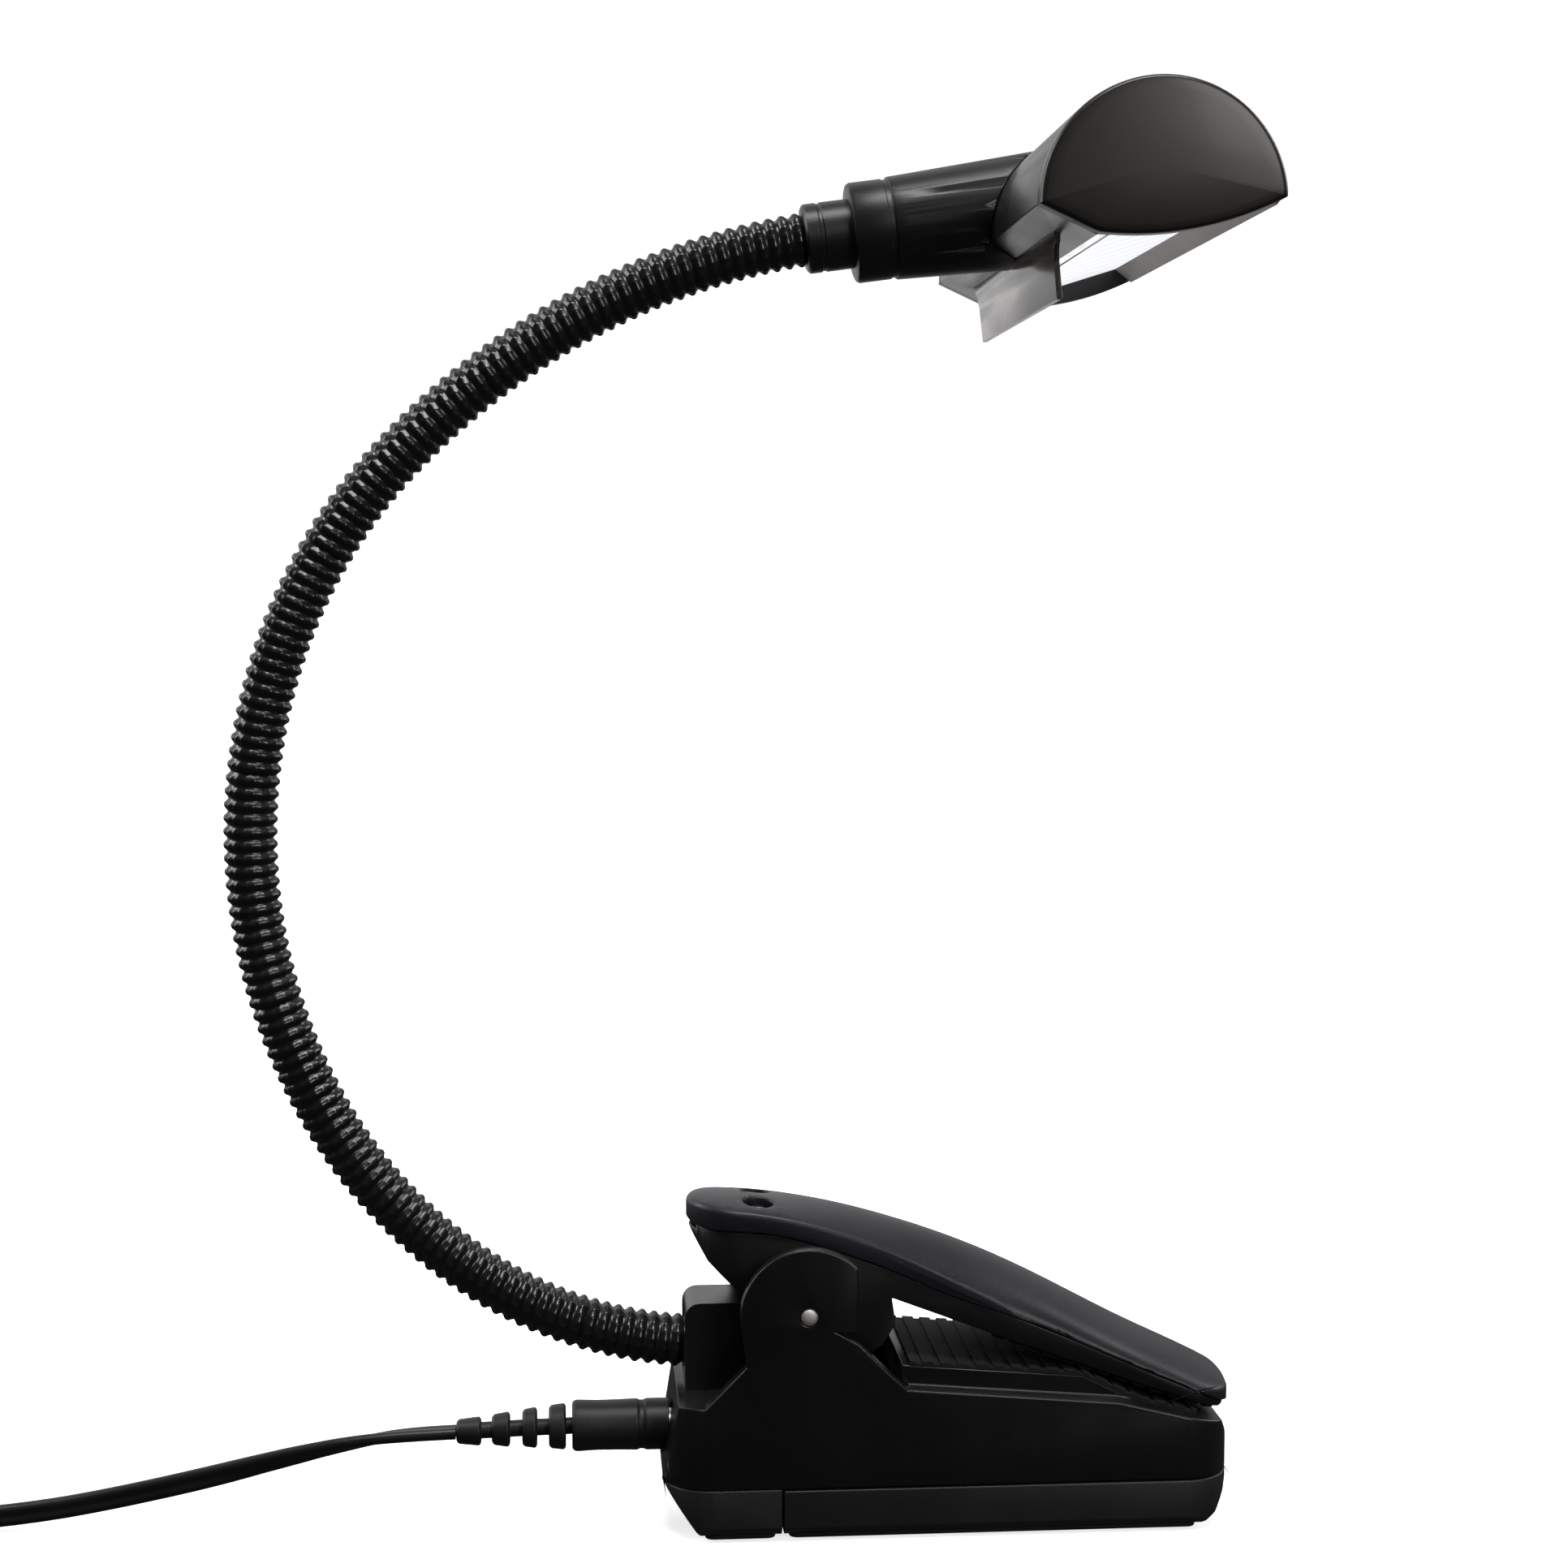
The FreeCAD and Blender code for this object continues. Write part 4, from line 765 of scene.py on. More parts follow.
@dataclass
class MainsLead:
    """Low-voltage lead: plug and strain relief, flat twin cord, tied coil, wall adapter."""

    cord_width: float = 4.0
    cord_thickness: float = 2.1
    cord_length: float = 1.8
    # the point of the route where the cord starts to turn on edge, and over how many points
    tilt_from: int = 1
    tilt_over: int = 3
    turns: int = 12
    columns: int = 3
    coil_centre: tuple[float, float] = (-206.0, 20.0)
    coil_mid_radius: float = 22.0
    column_pitch: float = 2.3
    first_layer_z: float = 2.9
    points_per_turn: int = 12
    # the point of each turn where the cord starts across to the next turn's place
    crossing_from: int = 8
    plug_z: float = 16.0
    plug_back_x: float = -50.4
    plug_length: float = 16.6
    relief_core: float = 1.5
    seat_depth: float = 0.9
    case_round: float = 3.0
    boot_radius: float = 3.4
    boot_rings: int = 3
    blade_thickness: float = 1.5
    blade_hole_radius: float = 1.5
    blade_hole_from_tip: float = 3.8

    out_points: tuple[Point, ...] = (
        (-88.0, 0.0, 15.3), (-97.0, 0.0, 15.1), (-107.0, 0.0, 13.8), (-118.5, 0.0, 11.4),
        (-133.6, 0.0, 7.8), (-148.6, 0.0, 4.8), (-160.5, -0.8, 3.1), (-173.0, -2.0, 2.3),
        (-186.0, -3.6, 2.2), (-198.0, -4.9, 2.9),
    )
    tail_points: tuple[Point, ...] = (
        (-231.0, 22.6, 14.8), (-232.3, 29.3, 14.1), (-236.1, 34.9, 12.9), (-241.7, 38.7, 11.7),
        (-248.4, 40.0, 10.6), (-255.0, 40.0, 10.0),
    )
    relief_rings: tuple[ReliefRing, ...] = (
        ReliefRing(-68.1, -71.2, 8.3, 7.7, 15.9), ReliefRing(-73.3, -76.0, 7.3, 6.7, 15.8),
        ReliefRing(-78.2, -81.5, 6.3, 5.5, 15.6), ReliefRing(-83.4, -87.9, 5.2, 4.4, 15.4),
    )

    def slot_of(self, turn: int) -> tuple[int, int]:
        """Layer and column of a turn; each layer is wound back over the one under it."""
        layer, step = divmod(turn, self.columns)
        return layer, step if layer % 2 == 0 else self.columns - 1 - step

    def turn_point(self, k: int, radius: float, height: float) -> Point:
        """Point of a turn, set out so far that the smooth line inside the points has the radius."""
        pull = math.cos(math.pi / self.points_per_turn) ** 2 / 2 + 0.5
        angle = math.radians(-90.0 - 360.0 * k / self.points_per_turn)
        return (self.coil_centre[0] + radius / pull * math.cos(angle),
                self.coil_centre[1] + radius / pull * math.sin(angle), height)

    def coil_points(self) -> list[Point]:
        """Points of the wound turns, layer on layer, and of the quarter turn that leads out on top."""
        points = []
        middle = (self.columns - 1) / 2
        for turn in range(self.turns):
            layer, column = self.slot_of(turn)
            next_layer, next_column = self.slot_of(min(turn + 1, self.turns - 1))
            for k in range(self.points_per_turn):
                share = max(0.0, (k - self.crossing_from) / (self.points_per_turn - self.crossing_from))
                place = column + (next_column - column) * share
                radius = self.coil_mid_radius + (middle - place) * self.column_pitch
                height = self.first_layer_z + (layer + (next_layer - layer) * share) * self.cord_width
                points.append(self.turn_point(k, radius, height))
        radius = self.coil_mid_radius + middle * self.column_pitch
        top = self.first_layer_z + self.slot_of(self.turns - 1)[0] * self.cord_width
        points += [self.turn_point(k, radius, top) for k in range(self.points_per_turn // 4)]
        return points

    def draw_line(self) -> tuple[bpy.types.Object, list[Point]]:
        """Draws the cord's line through its route, turned from lying flat to lying on edge.

        Returns:
            The curve, and the points of its smooth line in metres.
        """
        route = [*self.out_points, *self.coil_points(), *self.tail_points]
        data = bpy.data.curves.new("power_lead", "CURVE")
        data.dimensions = "3D"
        data.twist_mode = "Z_UP"
        spline = data.splines.new("NURBS")
        spline.points.add(len(route) - 1)
        for index, (point, place) in enumerate(zip(spline.points, route)):
            point.co = (*(Vector(place) * MM), 1.0)
            point.tilt = math.pi / 2 * min(1.0, max(0.0, (index - self.tilt_from) / self.tilt_over))
        spline.order_u = 3
        spline.use_endpoint_u = True
        spline.resolution_u = 6
        cord = bpy.data.objects.new("power_lead", data)
        bpy.context.scene.collection.objects.link(cord)
        line = bpy.data.meshes.new_from_object(cord.evaluated_get(bpy.context.evaluated_depsgraph_get()))
        path = [tuple(vertex.co) for vertex in line.vertices]
        bpy.data.meshes.remove(line)
        return cord, path

    def draw_section(self) -> bpy.types.Object:
        """Draws the twin cord's section: two round cores with a groove between them."""
        data = bpy.data.curves.new("twin section", "CURVE")
        outline = data.splines.new("POLY")
        steps = 10
        core_degrees = 250
        lobe = self.cord_thickness / 2
        reach = self.cord_width / 2 - lobe
        places = []
        for side in (1, -1):
            for k in range(steps + 1):
                angle = math.radians(core_degrees * (k / steps - 0.5))
                places.append((side * (reach + lobe * math.cos(angle)), side * lobe * math.sin(angle)))
        outline.points.add(len(places) - 1)
        for point, (across, up) in zip(outline.points, places):
            point.co = (across * MM, up * MM, 0.0, 1.0)
        outline.use_cyclic_u = True
        section = bpy.data.objects.new("twin section", data)
        bpy.context.scene.collection.objects.link(section)
        return section

    def build_cord(self, finishes: Finishes) -> None:
        """The cord: its line with the twin section drawn along it."""
        cord, path = self.draw_line()
        section = self.draw_section()
        cord.data.bevel_mode = "OBJECT"
        cord.data.bevel_object = section
        cord.data.use_fill_caps = True
        bench.hold(cord)
        bpy.ops.object.convert(target="MESH")
        bpy.data.objects.remove(section, do_unlink=True)
        bench.close_up(cord)
        bench.smooth(cord, 60)
        bench.fit(cord, finishes.cord, "base", "cord_vinyl", "power_cord", "cord_coil", "cord_tail")

    def build_plug(self, finishes: Finishes) -> None:
        """The plug's handle: a finger waist, and a stub that sits in the housing's pocket."""
        handle = bench.turned("plug_handle", (
            (0.0, 4.6), (3.2, 4.6), (3.6, 4.35), (4.4, 4.35), (4.8, 4.6), (8.0, 4.5),
            (12.0, 4.45), (15.6, 4.6), (16.2, 4.5), (self.plug_length, 4.0)),
            (self.plug_back_x, 0, self.plug_z), (-1, 0, 0), 72)
        with bench.editing(handle) as mesh:
            bench.choose_faces(handle, mesh, lambda centre, normal: normal.x > 0.9)
            bench.pull(x=self.seat_depth)
        bench.soften(handle, 0.18, 2, 12)
        bench.fit(handle, finishes.boot, "base", "cord_vinyl", "dc_plug_handle")

    def build_relief(self, finishes: Finishes) -> None:
        """The strain relief: shrinking rings on a core that sags a little from ring to ring."""
        pieces = []
        for index, ring in enumerate(self.relief_rings):
            long = ring.near - ring.far
            stations = ((0.0, ring.wide / 2 - 0.5), (0.35, ring.wide / 2),
                        (long - 0.45, ring.narrow / 2), (long, ring.narrow / 2 - 0.5))
            piece = bench.turned("relief_ring_%d" % index, stations, (ring.near, 0, ring.height),
                                 (-1, 0, 0), 48)
            pieces.append(bench.soften(piece, 0.2, 2, 25))
        first = Vector((self.plug_back_x - self.plug_length + 0.6, 0, self.plug_z))
        for index, ring in enumerate(self.relief_rings):
            last = Vector((ring.far + 0.4, 0, ring.height))
            run = last - first
            pieces.append(bench.turned("relief_core_%d" % index, (
                (0.0, self.relief_core), (run.length, self.relief_core)), tuple(first), tuple(run), 32))
            first = last
        self.relief = bench.joined("strain_relief_boot", pieces)
        bench.smooth(self.relief, 40)
        bench.fit(self.relief, finishes.boot, "base", "cord_vinyl", "strain_relief")

    def build_ties(self, finishes: Finishes) -> None:
        """The two ties round the coil."""
        self.ties = bench.softened_copy("cord_ties", "coil_ties", 0.3, 2)
        bench.fit(self.ties, finishes.tie, "base", "tie_vinyl", "cord_ties")

    def build_case(self, finishes: Finishes) -> None:
        """The adapter's case: rounded edges, a parting groove round it and a sunk panel on top."""
        low, high = (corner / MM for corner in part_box("adapter_body"))
        case = bench.block("adapter_case", tuple(low), tuple(high))
        middle = (low + high) / 2
        with bench.editing(case, Pick.EDGES) as mesh:
            bench.choose_edges(case, mesh, lambda a, b: abs(a.z - b.z) > 1)
            bpy.ops.mesh.bevel(offset=self.case_round * MM, segments=6, affect="EDGES")
            bpy.ops.mesh.select_all(action="DESELECT")
            bench.choose_edges(case, mesh, lambda a, b: abs(a.z - b.z) < 0.01)
            bpy.ops.mesh.bevel(offset=0.85 * self.case_round * MM, segments=5, affect="EDGES")
            for offset in (0.3, -0.3):
                bpy.ops.mesh.select_all(action="SELECT")
                bpy.ops.mesh.bisect(plane_co=(0, 0, (middle.z + offset) * MM), plane_no=(0, 0, 1))
        with bench.editing(case) as mesh:
            bench.choose_faces(case, mesh, lambda centre, normal: abs(centre.z - middle.z) < 0.1)
            bench.pull()
            bpy.ops.transform.resize(value=(0.985, 0.98, 1), center_override=tuple(middle * MM))
            bpy.ops.mesh.select_all(action="DESELECT")
            bench.choose_faces(case, mesh,
                               lambda centre, normal: normal.z > 0.99 and centre.z > high.z - 0.1)
            for scale, sink in ((0.84, 0.0), (0.985, 0.5)):
                bench.pull(z=-sink)
                bpy.ops.transform.resize(value=(scale, scale, 1), center_override=tuple(middle * MM))
        bench.smooth(case, 32)
        self.adapter = bench.fit(case, finishes.adapter, "base", "adapter_plastic", "adapter_body")

    def build_boot(self, finishes: Finishes) -> None:
        """The adapter's boot: shrinking rings with a groove behind each."""
        start, end = (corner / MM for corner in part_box("adapter_relief"))
        long = end.x - start.x
        stations = [(0.0, self.boot_radius)]
        for k in range(self.boot_rings):
            here = 0.4 + k * (long - 0.6) / self.boot_rings
            radius = self.boot_radius - 0.35 * k
            stations += [(here, radius), (here + 0.9, radius - 0.05),
                         (here + 1.0, radius - 0.7), (here + 1.5, radius - 0.75)]
        stations.append((long, 2.2))
        foot = (start.x, (start.y + end.y) / 2, (start.z + end.z) / 2)
        boot = bench.turned("adapter_boot", stations, foot, (1, 0, 0), 48)
        bench.smooth(boot, 30)
        self.boot = bench.fit(boot, finishes.boot, "base", "cord_vinyl", "adapter_relief")

    def build_blades(self, finishes: Finishes) -> None:
        """The adapter's two blades, rounded at the tip and drilled."""
        low, high = (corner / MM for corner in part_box("adapter_blades"))
        thick = self.blade_thickness
        drill = ((0.0, self.blade_hole_radius), (thick + 2.5, self.blade_hole_radius))
        blades = []
        for face_y in (low.y, high.y - thick):
            blade = bench.block("blade", (low.x, face_y, low.z), (high.x, face_y + thick, high.z))
            with bench.editing(blade, Pick.EDGES) as mesh:
                bench.choose_edges(blade, mesh,
                                   lambda a, b: max(a.x, b.x) < low.x + 0.5 and abs(a.y - b.y) > 1)
                bpy.ops.mesh.bevel(offset=1.2 * MM, segments=3, affect="EDGES")
            hole_start = (low.x + self.blade_hole_from_tip, face_y - 1, (low.z + high.z) / 2)
            hole = bench.turned("hole", drill, hole_start, (0, 1, 0), 24)
            blades.append(bench.soften(bench.cut(blade, hole), 0.15, 2, 40))
        self.blades = bench.joined("wall_blades", blades)
        bench.fit(self.blades, finishes.brass, "base", "brass_blades", "adapter_blades")

    def build(self, finishes: Finishes) -> None:
        """Builds the lead from its plug to its adapter."""
        self.build_plug(finishes)
        self.build_relief(finishes)
        self.build_ties(finishes)
        self.build_case(finishes)
        self.build_boot(finishes)
        self.build_blades(finishes)
        self.build_cord(finishes)
        bench.dress(finishes.steel, "dc_plug_barrel")


# ---------------------------------------------------------------- neck
@dataclass
class BendableNeck:
    """Ribbed hose in eight lengths bent along the neck's line; each of the six middle lengths spans one
    joint of the neck.
    """

    start: tuple[float, float] = (-44.6, 31.3)
    start_degrees: float = 177.2
    arc_length: float = 290.8 / 7
    arc_radii: tuple[float, ...] = (75.4, 87.1, 101.6, 102.4, 94.6, 130.8, 127.4)
    ribs_per_arc: int = 18
    beads: int = 18
    bead_steps: int = 3
    crest: float = 4.78
    dip: float = 4.50
    valley: float = 4.02
    blend_reach: float = 15.0
    socket_round: float = 2.6
    bodies: tuple[str, ...] = ("base", "neck_2", "neck_3", "neck_4", "neck_5", "neck_6", "head")

    def frames(self) -> list[tuple[float, float, float]]:
        """Place and direction at the start of each arc and at the end of the last."""
        x, z = self.start
        angle = math.radians(self.start_degrees)
        found = [(x, z, angle)]
        for radius in self.arc_radii:
            middle_x = x + radius * math.sin(angle)
            middle_z = z - radius * math.cos(angle)
            angle -= self.arc_length / radius
            x = middle_x - radius * math.sin(angle)
            z = middle_z + radius * math.cos(angle)
            found.append((x, z, angle))
        return found

    def point_at(self, distance: float) -> Vector:
        """Point of the neck's line at a distance from its start, in metres."""
        index = min(len(self.arc_radii) - 1, int(distance // self.arc_length))
        x, z, angle = self.frames()[index]
        radius = self.arc_radii[index]
        turned = angle - (distance - index * self.arc_length) / radius
        return Vector((x + radius * (math.sin(angle) - math.sin(turned)), 0,
                       z - radius * (math.cos(angle) - math.cos(turned)))) * MM

    def build_line(self) -> bpy.types.Object:
        """The bent line that the hose follows, one handle pair for each arc."""
        data = bpy.data.curves.new("neck line", "CURVE")
        data.dimensions = "3D"
        data.resolution_u = 48
        spline = data.splines.new("BEZIER")
        frames = self.frames()
        spline.bezier_points.add(len(frames) - 1)
        for index, (x, z, angle) in enumerate(frames):
            point = spline.bezier_points[index]
            place = Vector((x, 0, z)) * MM
            direction = Vector((math.cos(angle), 0, math.sin(angle))) * MM
            before = self.arc_radii[max(0, index - 1)]
            after = self.arc_radii[min(len(self.arc_radii) - 1, index)]
            reach = [4 / 3 * math.tan(self.arc_length / radius / 4) * radius for radius in (before, after)]
            point.co = place
            point.handle_left = place - direction * reach[0]
            point.handle_right = place + direction * reach[1]
        line = bpy.data.objects.new("neck line", data)
        bpy.context.scene.collection.objects.link(line)
        return line

    def build_hose(self, name: str, start: float, ribs: int, line: bpy.types.Object) -> bpy.types.Object:
        """Makes one length: a rib is extruded from a circle, beaded, repeated, and bent along the line.

        Args:
            name: the length's name.
            start: its distance from the neck's start.
            ribs: how many ribs it has.
            line: the neck's line.

        Returns:
            The bent hose.
        """
        pitch = self.arc_length / self.ribs_per_arc
        bench.clear()
        facets = self.beads * self.bead_steps
        bpy.ops.mesh.primitive_circle_add(vertices=facets, radius=self.valley * MM, fill_type="NOTHING",
                                          rotation=(0, math.pi / 2, 0))
        hose = bench.named(name)
        bench.settle(hose)
        rows = ((0.0, self.valley), (0.16, self.valley + 0.25), (0.34, self.crest - 0.1), (0.5, self.crest),
                (0.66, self.crest - 0.1), (0.84, self.valley + 0.25), (1.0, self.valley))
        with bench.editing(hose, Pick.EDGES):
            bpy.ops.mesh.select_all(action="SELECT")
            for (here, radius), (there, next_radius) in pairwise(rows):
                bench.pull(x=(there - here) * pitch)
                scale = next_radius / radius
                middle = (there * pitch * MM, 0, 0)
                bpy.ops.transform.resize(value=(1, scale, scale), center_override=middle)
        with bench.editing(hose, Pick.VERTS) as mesh:
            for vertex in mesh.verts:
                turn = math.atan2(vertex.co.z, vertex.co.y) / (2 * math.pi / facets)
                inner = 0.3 < vertex.co.x / (pitch * MM) < 0.7
                vertex.select_set(inner and round(turn) % self.bead_steps == 0)
            mesh.select_flush_mode()
            bmesh.update_edit_mesh(hose.data)
            scale = self.dip / self.crest
            bpy.ops.transform.resize(value=(1, scale, scale), center_override=(0, 0, 0))
        with bench.editing(hose, Pick.VERTS):
            bpy.ops.mesh.select_all(action="SELECT")
            bpy.ops.transform.translate(value=(start * MM, 0, 0))
            bpy.ops.mesh.normals_make_consistent(inside=False)
        array = hose.modifiers.new("ribs", "ARRAY")
        array.count = ribs
        array.use_relative_offset = False
        array.use_constant_offset = True
        array.constant_offset_displace = (pitch * MM, 0, 0)
        array.use_merge_vertices = True
        array.merge_threshold = 2e-6
        bend = hose.modifiers.new("bend", "CURVE")
        bend.object = line
        bend.deform_axis = "POS_X"
        bench.finish_modifiers(hose)
        bench.hold(hose)
        bpy.ops.object.shade_smooth()
        return hose

    def build_socket(self, finishes: Finishes) -> None:
        """Block between the ears that the hose starts from, with a rounded top and a ringed mouth."""
        low, high = (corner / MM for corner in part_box("neck_socket"))
        socket = bench.block("neck_socket_block", tuple(low), tuple(high))
        with bench.editing(socket, Pick.EDGES) as mesh:
            bench.choose_edges(socket, mesh,
                               lambda a, b: min(a.z, b.z) > high.z - 0.1 and abs(a.y - b.y) > 1)
            bpy.ops.mesh.bevel(offset=self.socket_round * MM, segments=6, affect="EDGES")
        with bench.editing(socket) as mesh:
            bench.choose_faces(socket, mesh, lambda centre, normal: normal.x < -0.9 and abs(centre.y) < 1)
            bpy.ops.mesh.inset(thickness=0.5 * MM)
            bpy.ops.mesh.inset(thickness=0.4 * MM, depth=-0.3 * MM)
        bench.soften(socket, 0.35, 3, 40)
        bench.fit(socket, finishes.housing, "base", "housing", "neck_socket")

    def build(self, finishes: Finishes) -> None:
        """Builds the hose and its socket."""
        line = self.build_line()
        half = self.arc_length / 2
        joints = len(self.bodies) - 1
        for index in range(joints + 2):
            start = 0.0 if index == 0 else (index - 0.5) * self.arc_length
            ribs = self.ribs_per_arc // 2 if index in (0, joints + 1) else self.ribs_per_arc
            hose = self.build_hose("neck_hose_%d" % index, start, ribs, line)
            hose.data.materials.append(finishes.neck)
            if index <= joints:
                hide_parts("neck_sleeve_%d" % (index + 1))
            if index in (0, joints + 1):
                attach(hose, self.bodies[0] if index == 0 else self.bodies[-1])
                continue
            joint = start + half
            tuple(self.point_at(joint - self.blend_reach))
            tuple(self.point_at(joint + self.blend_reach))
            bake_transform(hose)
        bpy.data.objects.remove(line, do_unlink=True)
        self.build_socket(finishes)


# ---------------------------------------------------------------- base
@dataclass
class ClipBase:
    """Battery base: housing with two ears, rear cover, sliding door, feet, cells and switch."""

    shell_edge: float = 0.38
    tray_edge: float = 0.3
    pin_radius: float = 1.5
    knob_ribs: int = 4
    knob_groove: float = 0.45

    def build_shells(self, finishes: Finishes) -> None:
        """Housing, rear cover, battery door and the two rubber soles, with softened edges."""
        for node, name, edge, material, body in (
                ("upper_housing", "housing_shell", self.shell_edge, finishes.housing, "base"),
                ("rear_cover", "rear_cover_tray", self.tray_edge, finishes.base_tray, "base"),
                ("battery_door", "battery_door_tray", self.tray_edge, finishes.base_tray, "battery_door")):
            shell = bench.softened_copy(node, name, edge, 3, 24, clamp=False)
            bench.fit(shell, material, body, "housing", node)
        for node, name, body in (("rear_foot_pad", "rear_foot_sole", "base"),
                                 ("front_foot_pad", "front_foot_sole", "battery_door")):
            sole = bench.softened_copy(node, name, 0.25, 2, 40)
            bench.fit(sole, finishes.rubber, body, "rubber", node)

    def build_pin(self, finishes: Finishes) -> None:
        """Steel pin with slightly domed, chamfered ends."""
        low, high = (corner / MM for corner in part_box("pivot_pin"))
        middle = (low + high) / 2
        long = high.y - low.y
        radius = self.pin_radius
        dome = [(0.0, 0.25), (0.05, radius - 0.8), (0.14, radius - 0.45), (0.28, radius - 0.16),
                (0.5, radius)]
        stations = dome + [(long - depth, wide) for depth, wide in reversed(dome)]
        pin = bench.turned("pivot_rivet", stations, (middle.x, low.y, middle.z), (0, 1, 0), 40)
        bench.smooth(pin, 40)
        bench.fit(pin, finishes.rivet, "base", "steel", "pivot_pin")

    def build_knob(self, finishes: Finishes) -> None:
        """Slide switch knob with grip ribs."""
        low, high = (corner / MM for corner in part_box("switch_knob"))
        knob = bench.block("slide_knob", tuple(low), tuple(high))
        step = (high.x - low.x) / (2 * self.knob_ribs + 1)
        for k in range(self.knob_ribs):
            start = low.x + step * (2 * k + 1)
            bench.cut(knob, bench.block("groove", (start, high.y - self.knob_groove, low.z - 1),
                                        (start + step, high.y + 1, high.z + 1)))
        bench.soften(knob, 0.08, 2, 40)
        bench.fit(knob, finishes.switch, "switch", "switch_plastic", "switch_knob")

    def dress_inside(self, finishes: Finishes) -> None:
        """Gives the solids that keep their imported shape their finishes."""
        bench.dress(finishes.jacket, "aaa_cell_1", "aaa_cell_2", "aaa_cell_3")
        bench.dress(finishes.steel, "rear_contacts", "front_contacts", "contact_springs", "cover_screws")
        bench.dress(finishes.board, "driver_board")
        bench.dress(finishes.inner, "battery_cradle", "board_components", "power_inlet")
        bench.dress(finishes.switch, "switch_body")
        bench.dress(finishes.rubber, "lower_jaw_pad")

    def build(self, finishes: Finishes) -> None:
        """Builds the base."""
        self.build_shells(finishes)
        self.build_pin(finishes)
        self.build_knob(finishes)
        self.dress_inside(finishes)


# ---------------------------------------------------------------- lever
@dataclass
class PressLever:
    """Press lever: crowned cover, arm with cheeks, screws, spring and jaw pad."""

    screw_x: float = -33.4
    screw_y: float = 4.6
    screw_top: float = 54.8
    screw_length: float = 4.8
    # length, width and depth of each slot of the cross recess
    screw_slot: tuple[float, float, float] = (2.6, 0.5, 0.7)

    def build_cover(self, finishes: Finishes) -> None:
        """Crowned cover and the arm under it."""
        cover = bench.softened_copy("lever_cover", "lever_cover_shell", 0.3, 3, 28, clamp=False)
        bench.fit(cover, finishes.lever, "lever", "lever_plastic", "lever_cover")
        arm = bench.softened_copy("lever_arm", "lever_arm_shell", 0.25, 2, 28, clamp=False)
        bench.fit(arm, finishes.arm, "lever", "arm_plastic", "lever_arm")

    def build_screws(self, finishes: Finishes) -> None:
        """Two pan-head screws with a cross recess."""
        heads = []
        x, top = self.screw_x, self.screw_top
        slot_long, slot_wide, slot_deep = self.screw_slot
        for y in (-self.screw_y, self.screw_y):
            head = bench.turned("screw", (
                (0.0, 1.2), (3.5, 1.2), (3.5, 2.45), (4.1, 2.45), (4.5, 2.2), (self.screw_length, 1.5)),
                (x, y, top - self.screw_length), (0, 0, 1), 40)
            for wide, deep in ((slot_long, slot_wide), (slot_wide, slot_long)):
                bench.cut(head, bench.block("recess", (x - wide / 2, y - deep / 2, top - slot_deep),
                                            (x + wide / 2, y + deep / 2, top + 1)))
            heads.append(bench.smooth(head, 32))
        screws = bench.joined("lever_cross_screws", heads)
        bench.fit(screws, finishes.steel, "lever", "steel", "lever_screws")

    def build(self, finishes: Finishes) -> None:
        """Builds the lever."""
        self.build_cover(finishes)
        self.build_screws(finishes)
        bench.dress(finishes.rubber, "upper_jaw_pad")
        bench.dress(finishes.steel, "torsion_spring")


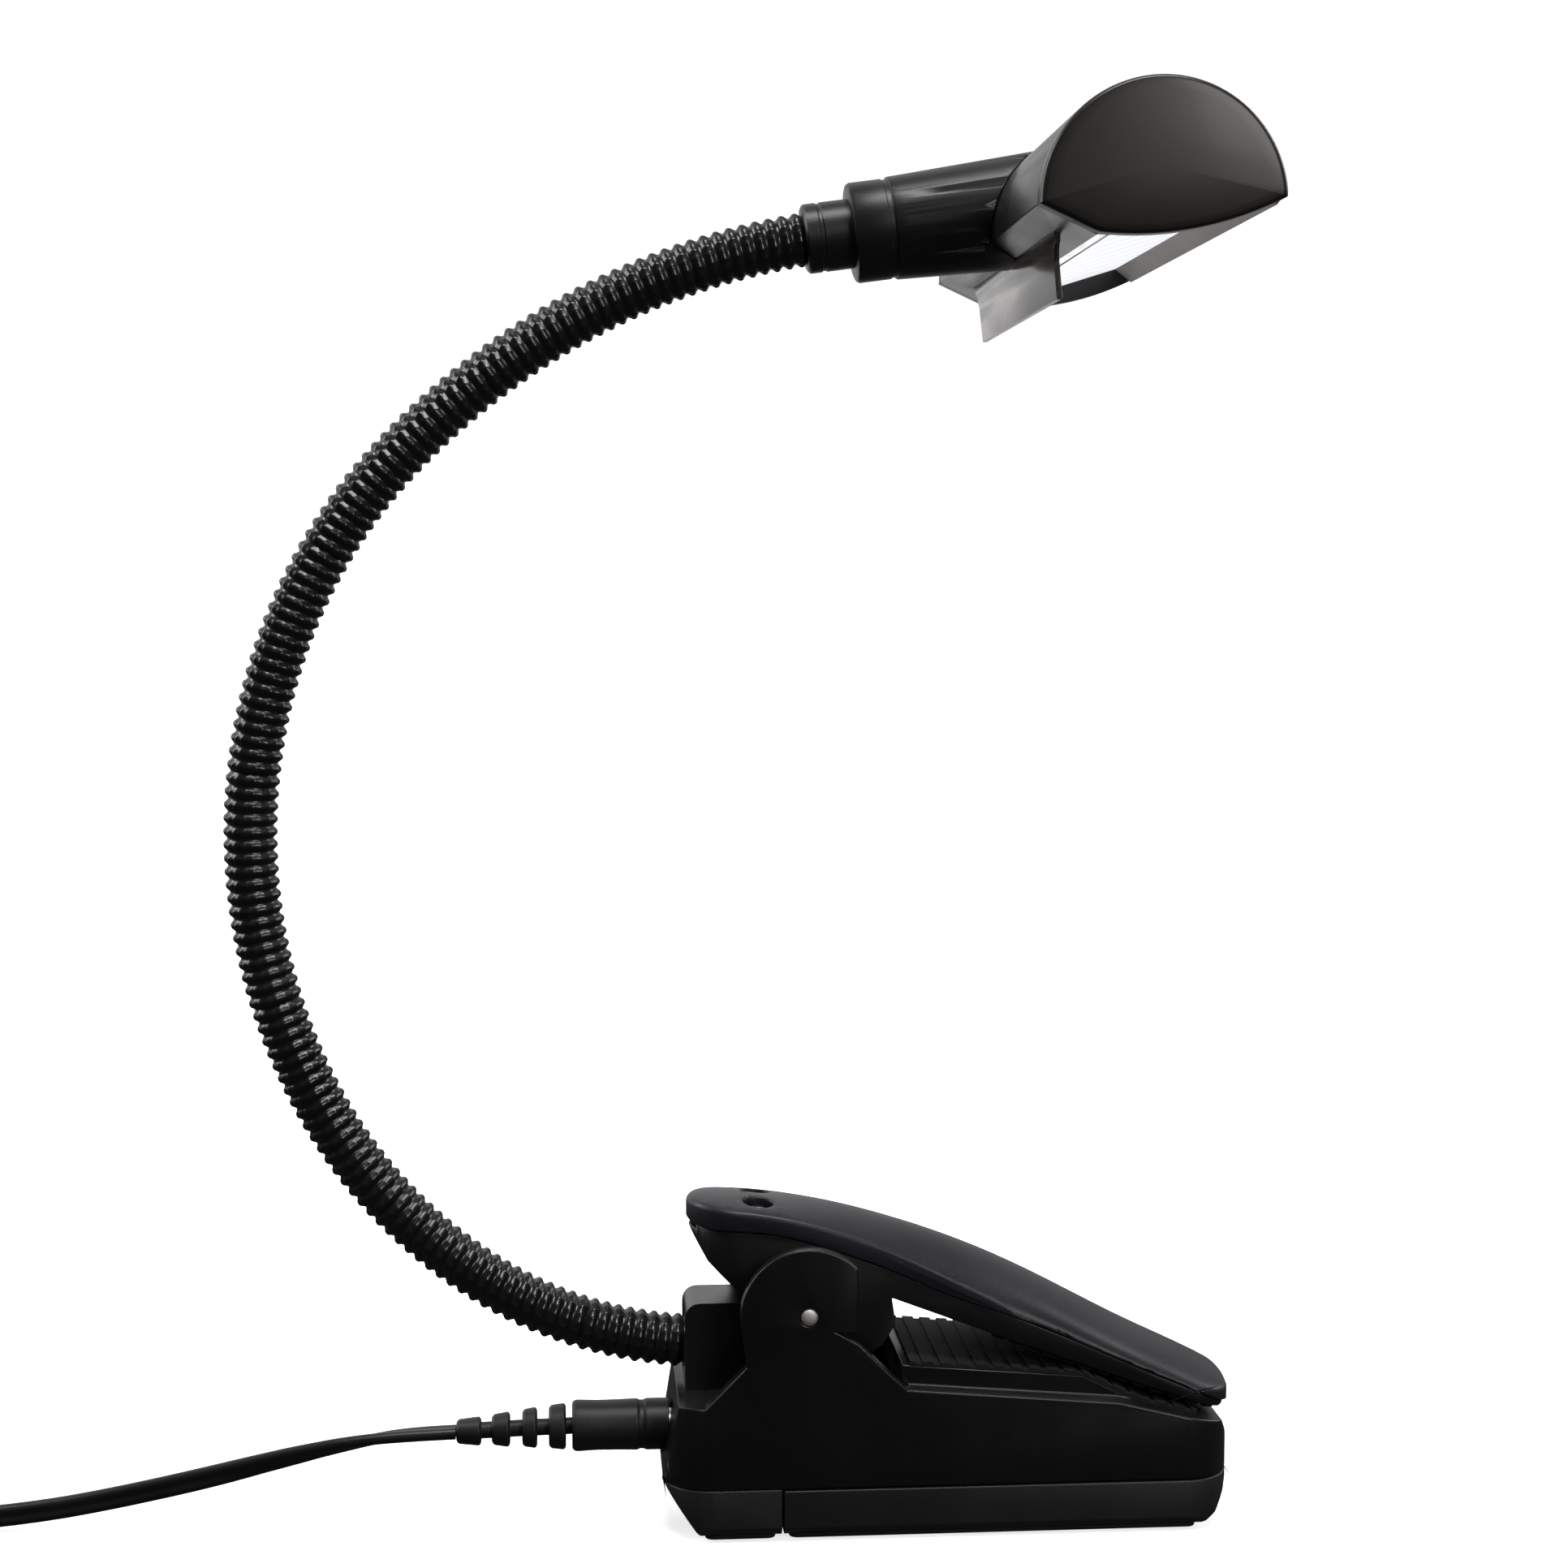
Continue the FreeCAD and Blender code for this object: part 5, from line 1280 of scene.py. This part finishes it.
# ---------------------------------------------------------------- head
@dataclass
class LightHead:
    """Half-round light bar: shell, glossy end caps, lit window, glare shield and barrel."""

    centre: tuple[float, float] = (27.0, 228.4)
    tilt_degrees: float = 6.0
    length: float = 120.0
    radius: float = 19.8
    bevel_from: tuple[float, float] = (-19.75, 1.7)
    bevel_slope: float = -0.594
    rim: float = 1.0
    belly: float = 4.7
    cap_depth: float = 4.0
    cap_round: float = 1.1
    cap_crown: float = 0.6
    crown_z: float = 5.5
    outline_points: int = 112
    barrel_tilt: float = 7.7
    neck_end: tuple[float, float] = (-24.742, 229.351)
    collar_length: float = 8.4

    def place(self, piece: bpy.types.Object) -> bpy.types.Object:
        """Moves a piece from the head's own frame to its place on the lamp."""
        piece.rotation_euler = (0, -math.radians(self.tilt_degrees), 0)
        piece.location = Vector((self.centre[0], 0, self.centre[1])) * MM
        return bench.settle(piece)

    def outline(self, angle: float) -> tuple[float, float]:
        """Point of the half-round outline at an angle round its middle, in millimetres."""
        across, up = math.cos(angle), math.sin(angle)
        x, z = self.radius * across, self.radius * up
        if up < 0:
            x = across * (self.radius - 0.1)
            share = min(1.0, abs(x) / (self.radius - 0.2))
            drop = self.rim + (self.belly - self.rim) * (1 - share ** 2)
            z = -drop * min(1.0, -up / 0.06)
        return x, max(z, self.bevel_from[1] + self.bevel_slope * (x - self.bevel_from[0]))

    def cap_moves(self) -> list[tuple[float, float]]:
        """Scale and rise of each step of a cap: its side, its rounded rim, then its crown."""
        steps = 5
        moves = [(1.0, self.cap_depth - self.cap_crown - self.cap_round)]
        for k in range(1, steps + 1):
            last, turn = (math.pi / 2 * step / steps for step in (k - 1, k))
            inset = self.cap_round * (math.cos(last) - math.cos(turn))
            moves.append((1 - inset / self.radius, self.cap_round * (math.sin(turn) - math.sin(last))))
        rings = 9
        for k in range(rings):
            before, after = 1 - k / rings, 1 - (k + 0.92) / rings
            moves.append((after / before, self.cap_crown * (before ** 2 - after ** 2)))
        return moves

    def build_cap(self, side: int, finishes: Finishes) -> None:
        """One end cap: the outline is extruded, rounded at the rim and crowned."""
        bench.clear()
        bpy.ops.mesh.primitive_circle_add(vertices=self.outline_points, radius=self.radius * MM,
                                          fill_type="NGON", rotation=(math.pi / 2, 0, 0))
        end = "left" if side < 0 else "right"
        cap = bench.named("head_cap_%s" % end)
        bench.settle(cap)
        inner_y = side * (self.length / 2 - self.cap_depth)
        with bench.editing(cap, Pick.VERTS) as mesh:
            for vertex in mesh.verts:
                x, z = self.outline(math.atan2(vertex.co.z, vertex.co.x))
                vertex.co = Vector((x, inner_y, z)) * MM
            bmesh.update_edit_mesh(cap.data)
        crown = (0, 0, self.crown_z * MM)
        with bench.editing(cap):
            bpy.ops.mesh.select_all(action="SELECT")
            for scale, rise in self.cap_moves():
                bench.pull(y=side * rise)
                if scale < 1:
                    bpy.ops.transform.resize(value=(scale, 1, scale), center_override=crown)
        bench.close_up(cap)
        self.place(cap)
        bench.smooth(cap, 50)
        bench.fit(cap, finishes.cap, "head", "cap_gloss", "end_cap_%s" % end)

    def build_barrel(self, finishes: Finishes) -> None:
        """Barrel, ring and collar between the neck and the head."""
        barrel = bench.softened_copy("head_barrel", "barrel_cone", 0.4, 3, 40, clamp=False)
        bench.fit(barrel, finishes.barrel, "head", "barrel_plastic", "head_barrel")
        tilt = math.radians(self.barrel_tilt)
        axis = Vector((math.cos(tilt), 0, math.sin(tilt)))
        start = Vector((self.neck_end[0], 0, self.neck_end[1])) - 0.2 * axis
        collar = bench.turned("neck_collar_sleeve", (
            (0.0, 5.35), (0.25, 5.8), (0.6, 6.1), (2.6, 6.1), (2.8, 5.9), (3.3, 5.9), (3.5, 6.1),
            (self.collar_length, 6.1)), tuple(start), tuple(axis), 64)
        bench.smooth(collar, 32)
        bench.fit(collar, finishes.barrel, "head", "barrel_plastic", "neck_collar")
        ring = bench.turned("barrel_ring_band", (
            (0.0, 8.0), (0.2, 8.5), (0.7, 8.8), (6.3, 8.8), (6.45, 8.6), (6.95, 8.6), (7.2, 8.6)),
            tuple(start + self.collar_length * axis), tuple(axis), 72)
        bench.smooth(ring, 32)
        bench.fit(ring, finishes.barrel, "head", "barrel_plastic", "barrel_ring")

    def build(self, finishes: Finishes) -> None:
        """Builds the head."""
        shell = bench.softened_copy("head_shell", "head_housing", 0.3, 3, 24, clamp=False)
        bench.fit(shell, finishes.head, "head", "head_plastic", "head_shell")
        for side in (-1, 1):
            self.build_cap(side, finishes)
        self.build_barrel(finishes)
        shield = bench.softened_copy("glare_shield", "smoked_shield", 0.2, 3, 30, clamp=False)
        bench.fit(shield, finishes.smoked, "head", "smoked_clear", "glare_shield")
        window = bench.softened_copy("diffuser", "light_window", 0.15, 2, 30)
        bench.fit(window, finishes.glow, "head", "diffuser_white", "diffuser")
        bench.dress(finishes.white, "led_board", "reflector")
        bench.dress(finishes.yellow, "leds")
        bench.dress(finishes.bezel, "window_bezel")


def main() -> None:
    """Builds the lamp and its studio."""
    logging.basicConfig(level=logging.INFO, format="%(name)s: %(message)s")
    studio = Studio()
    studio.build_camera()
    finishes = Finishes()
    MainsLead().build(finishes)
    BendableNeck().build(finishes)
    ClipBase().build(finishes)
    PressLever().build(finishes)
    LightHead().build(finishes)
    studio.build_floor()
    studio.build_lights()
    bench.clear()


if __name__ == "__main__":
    main()
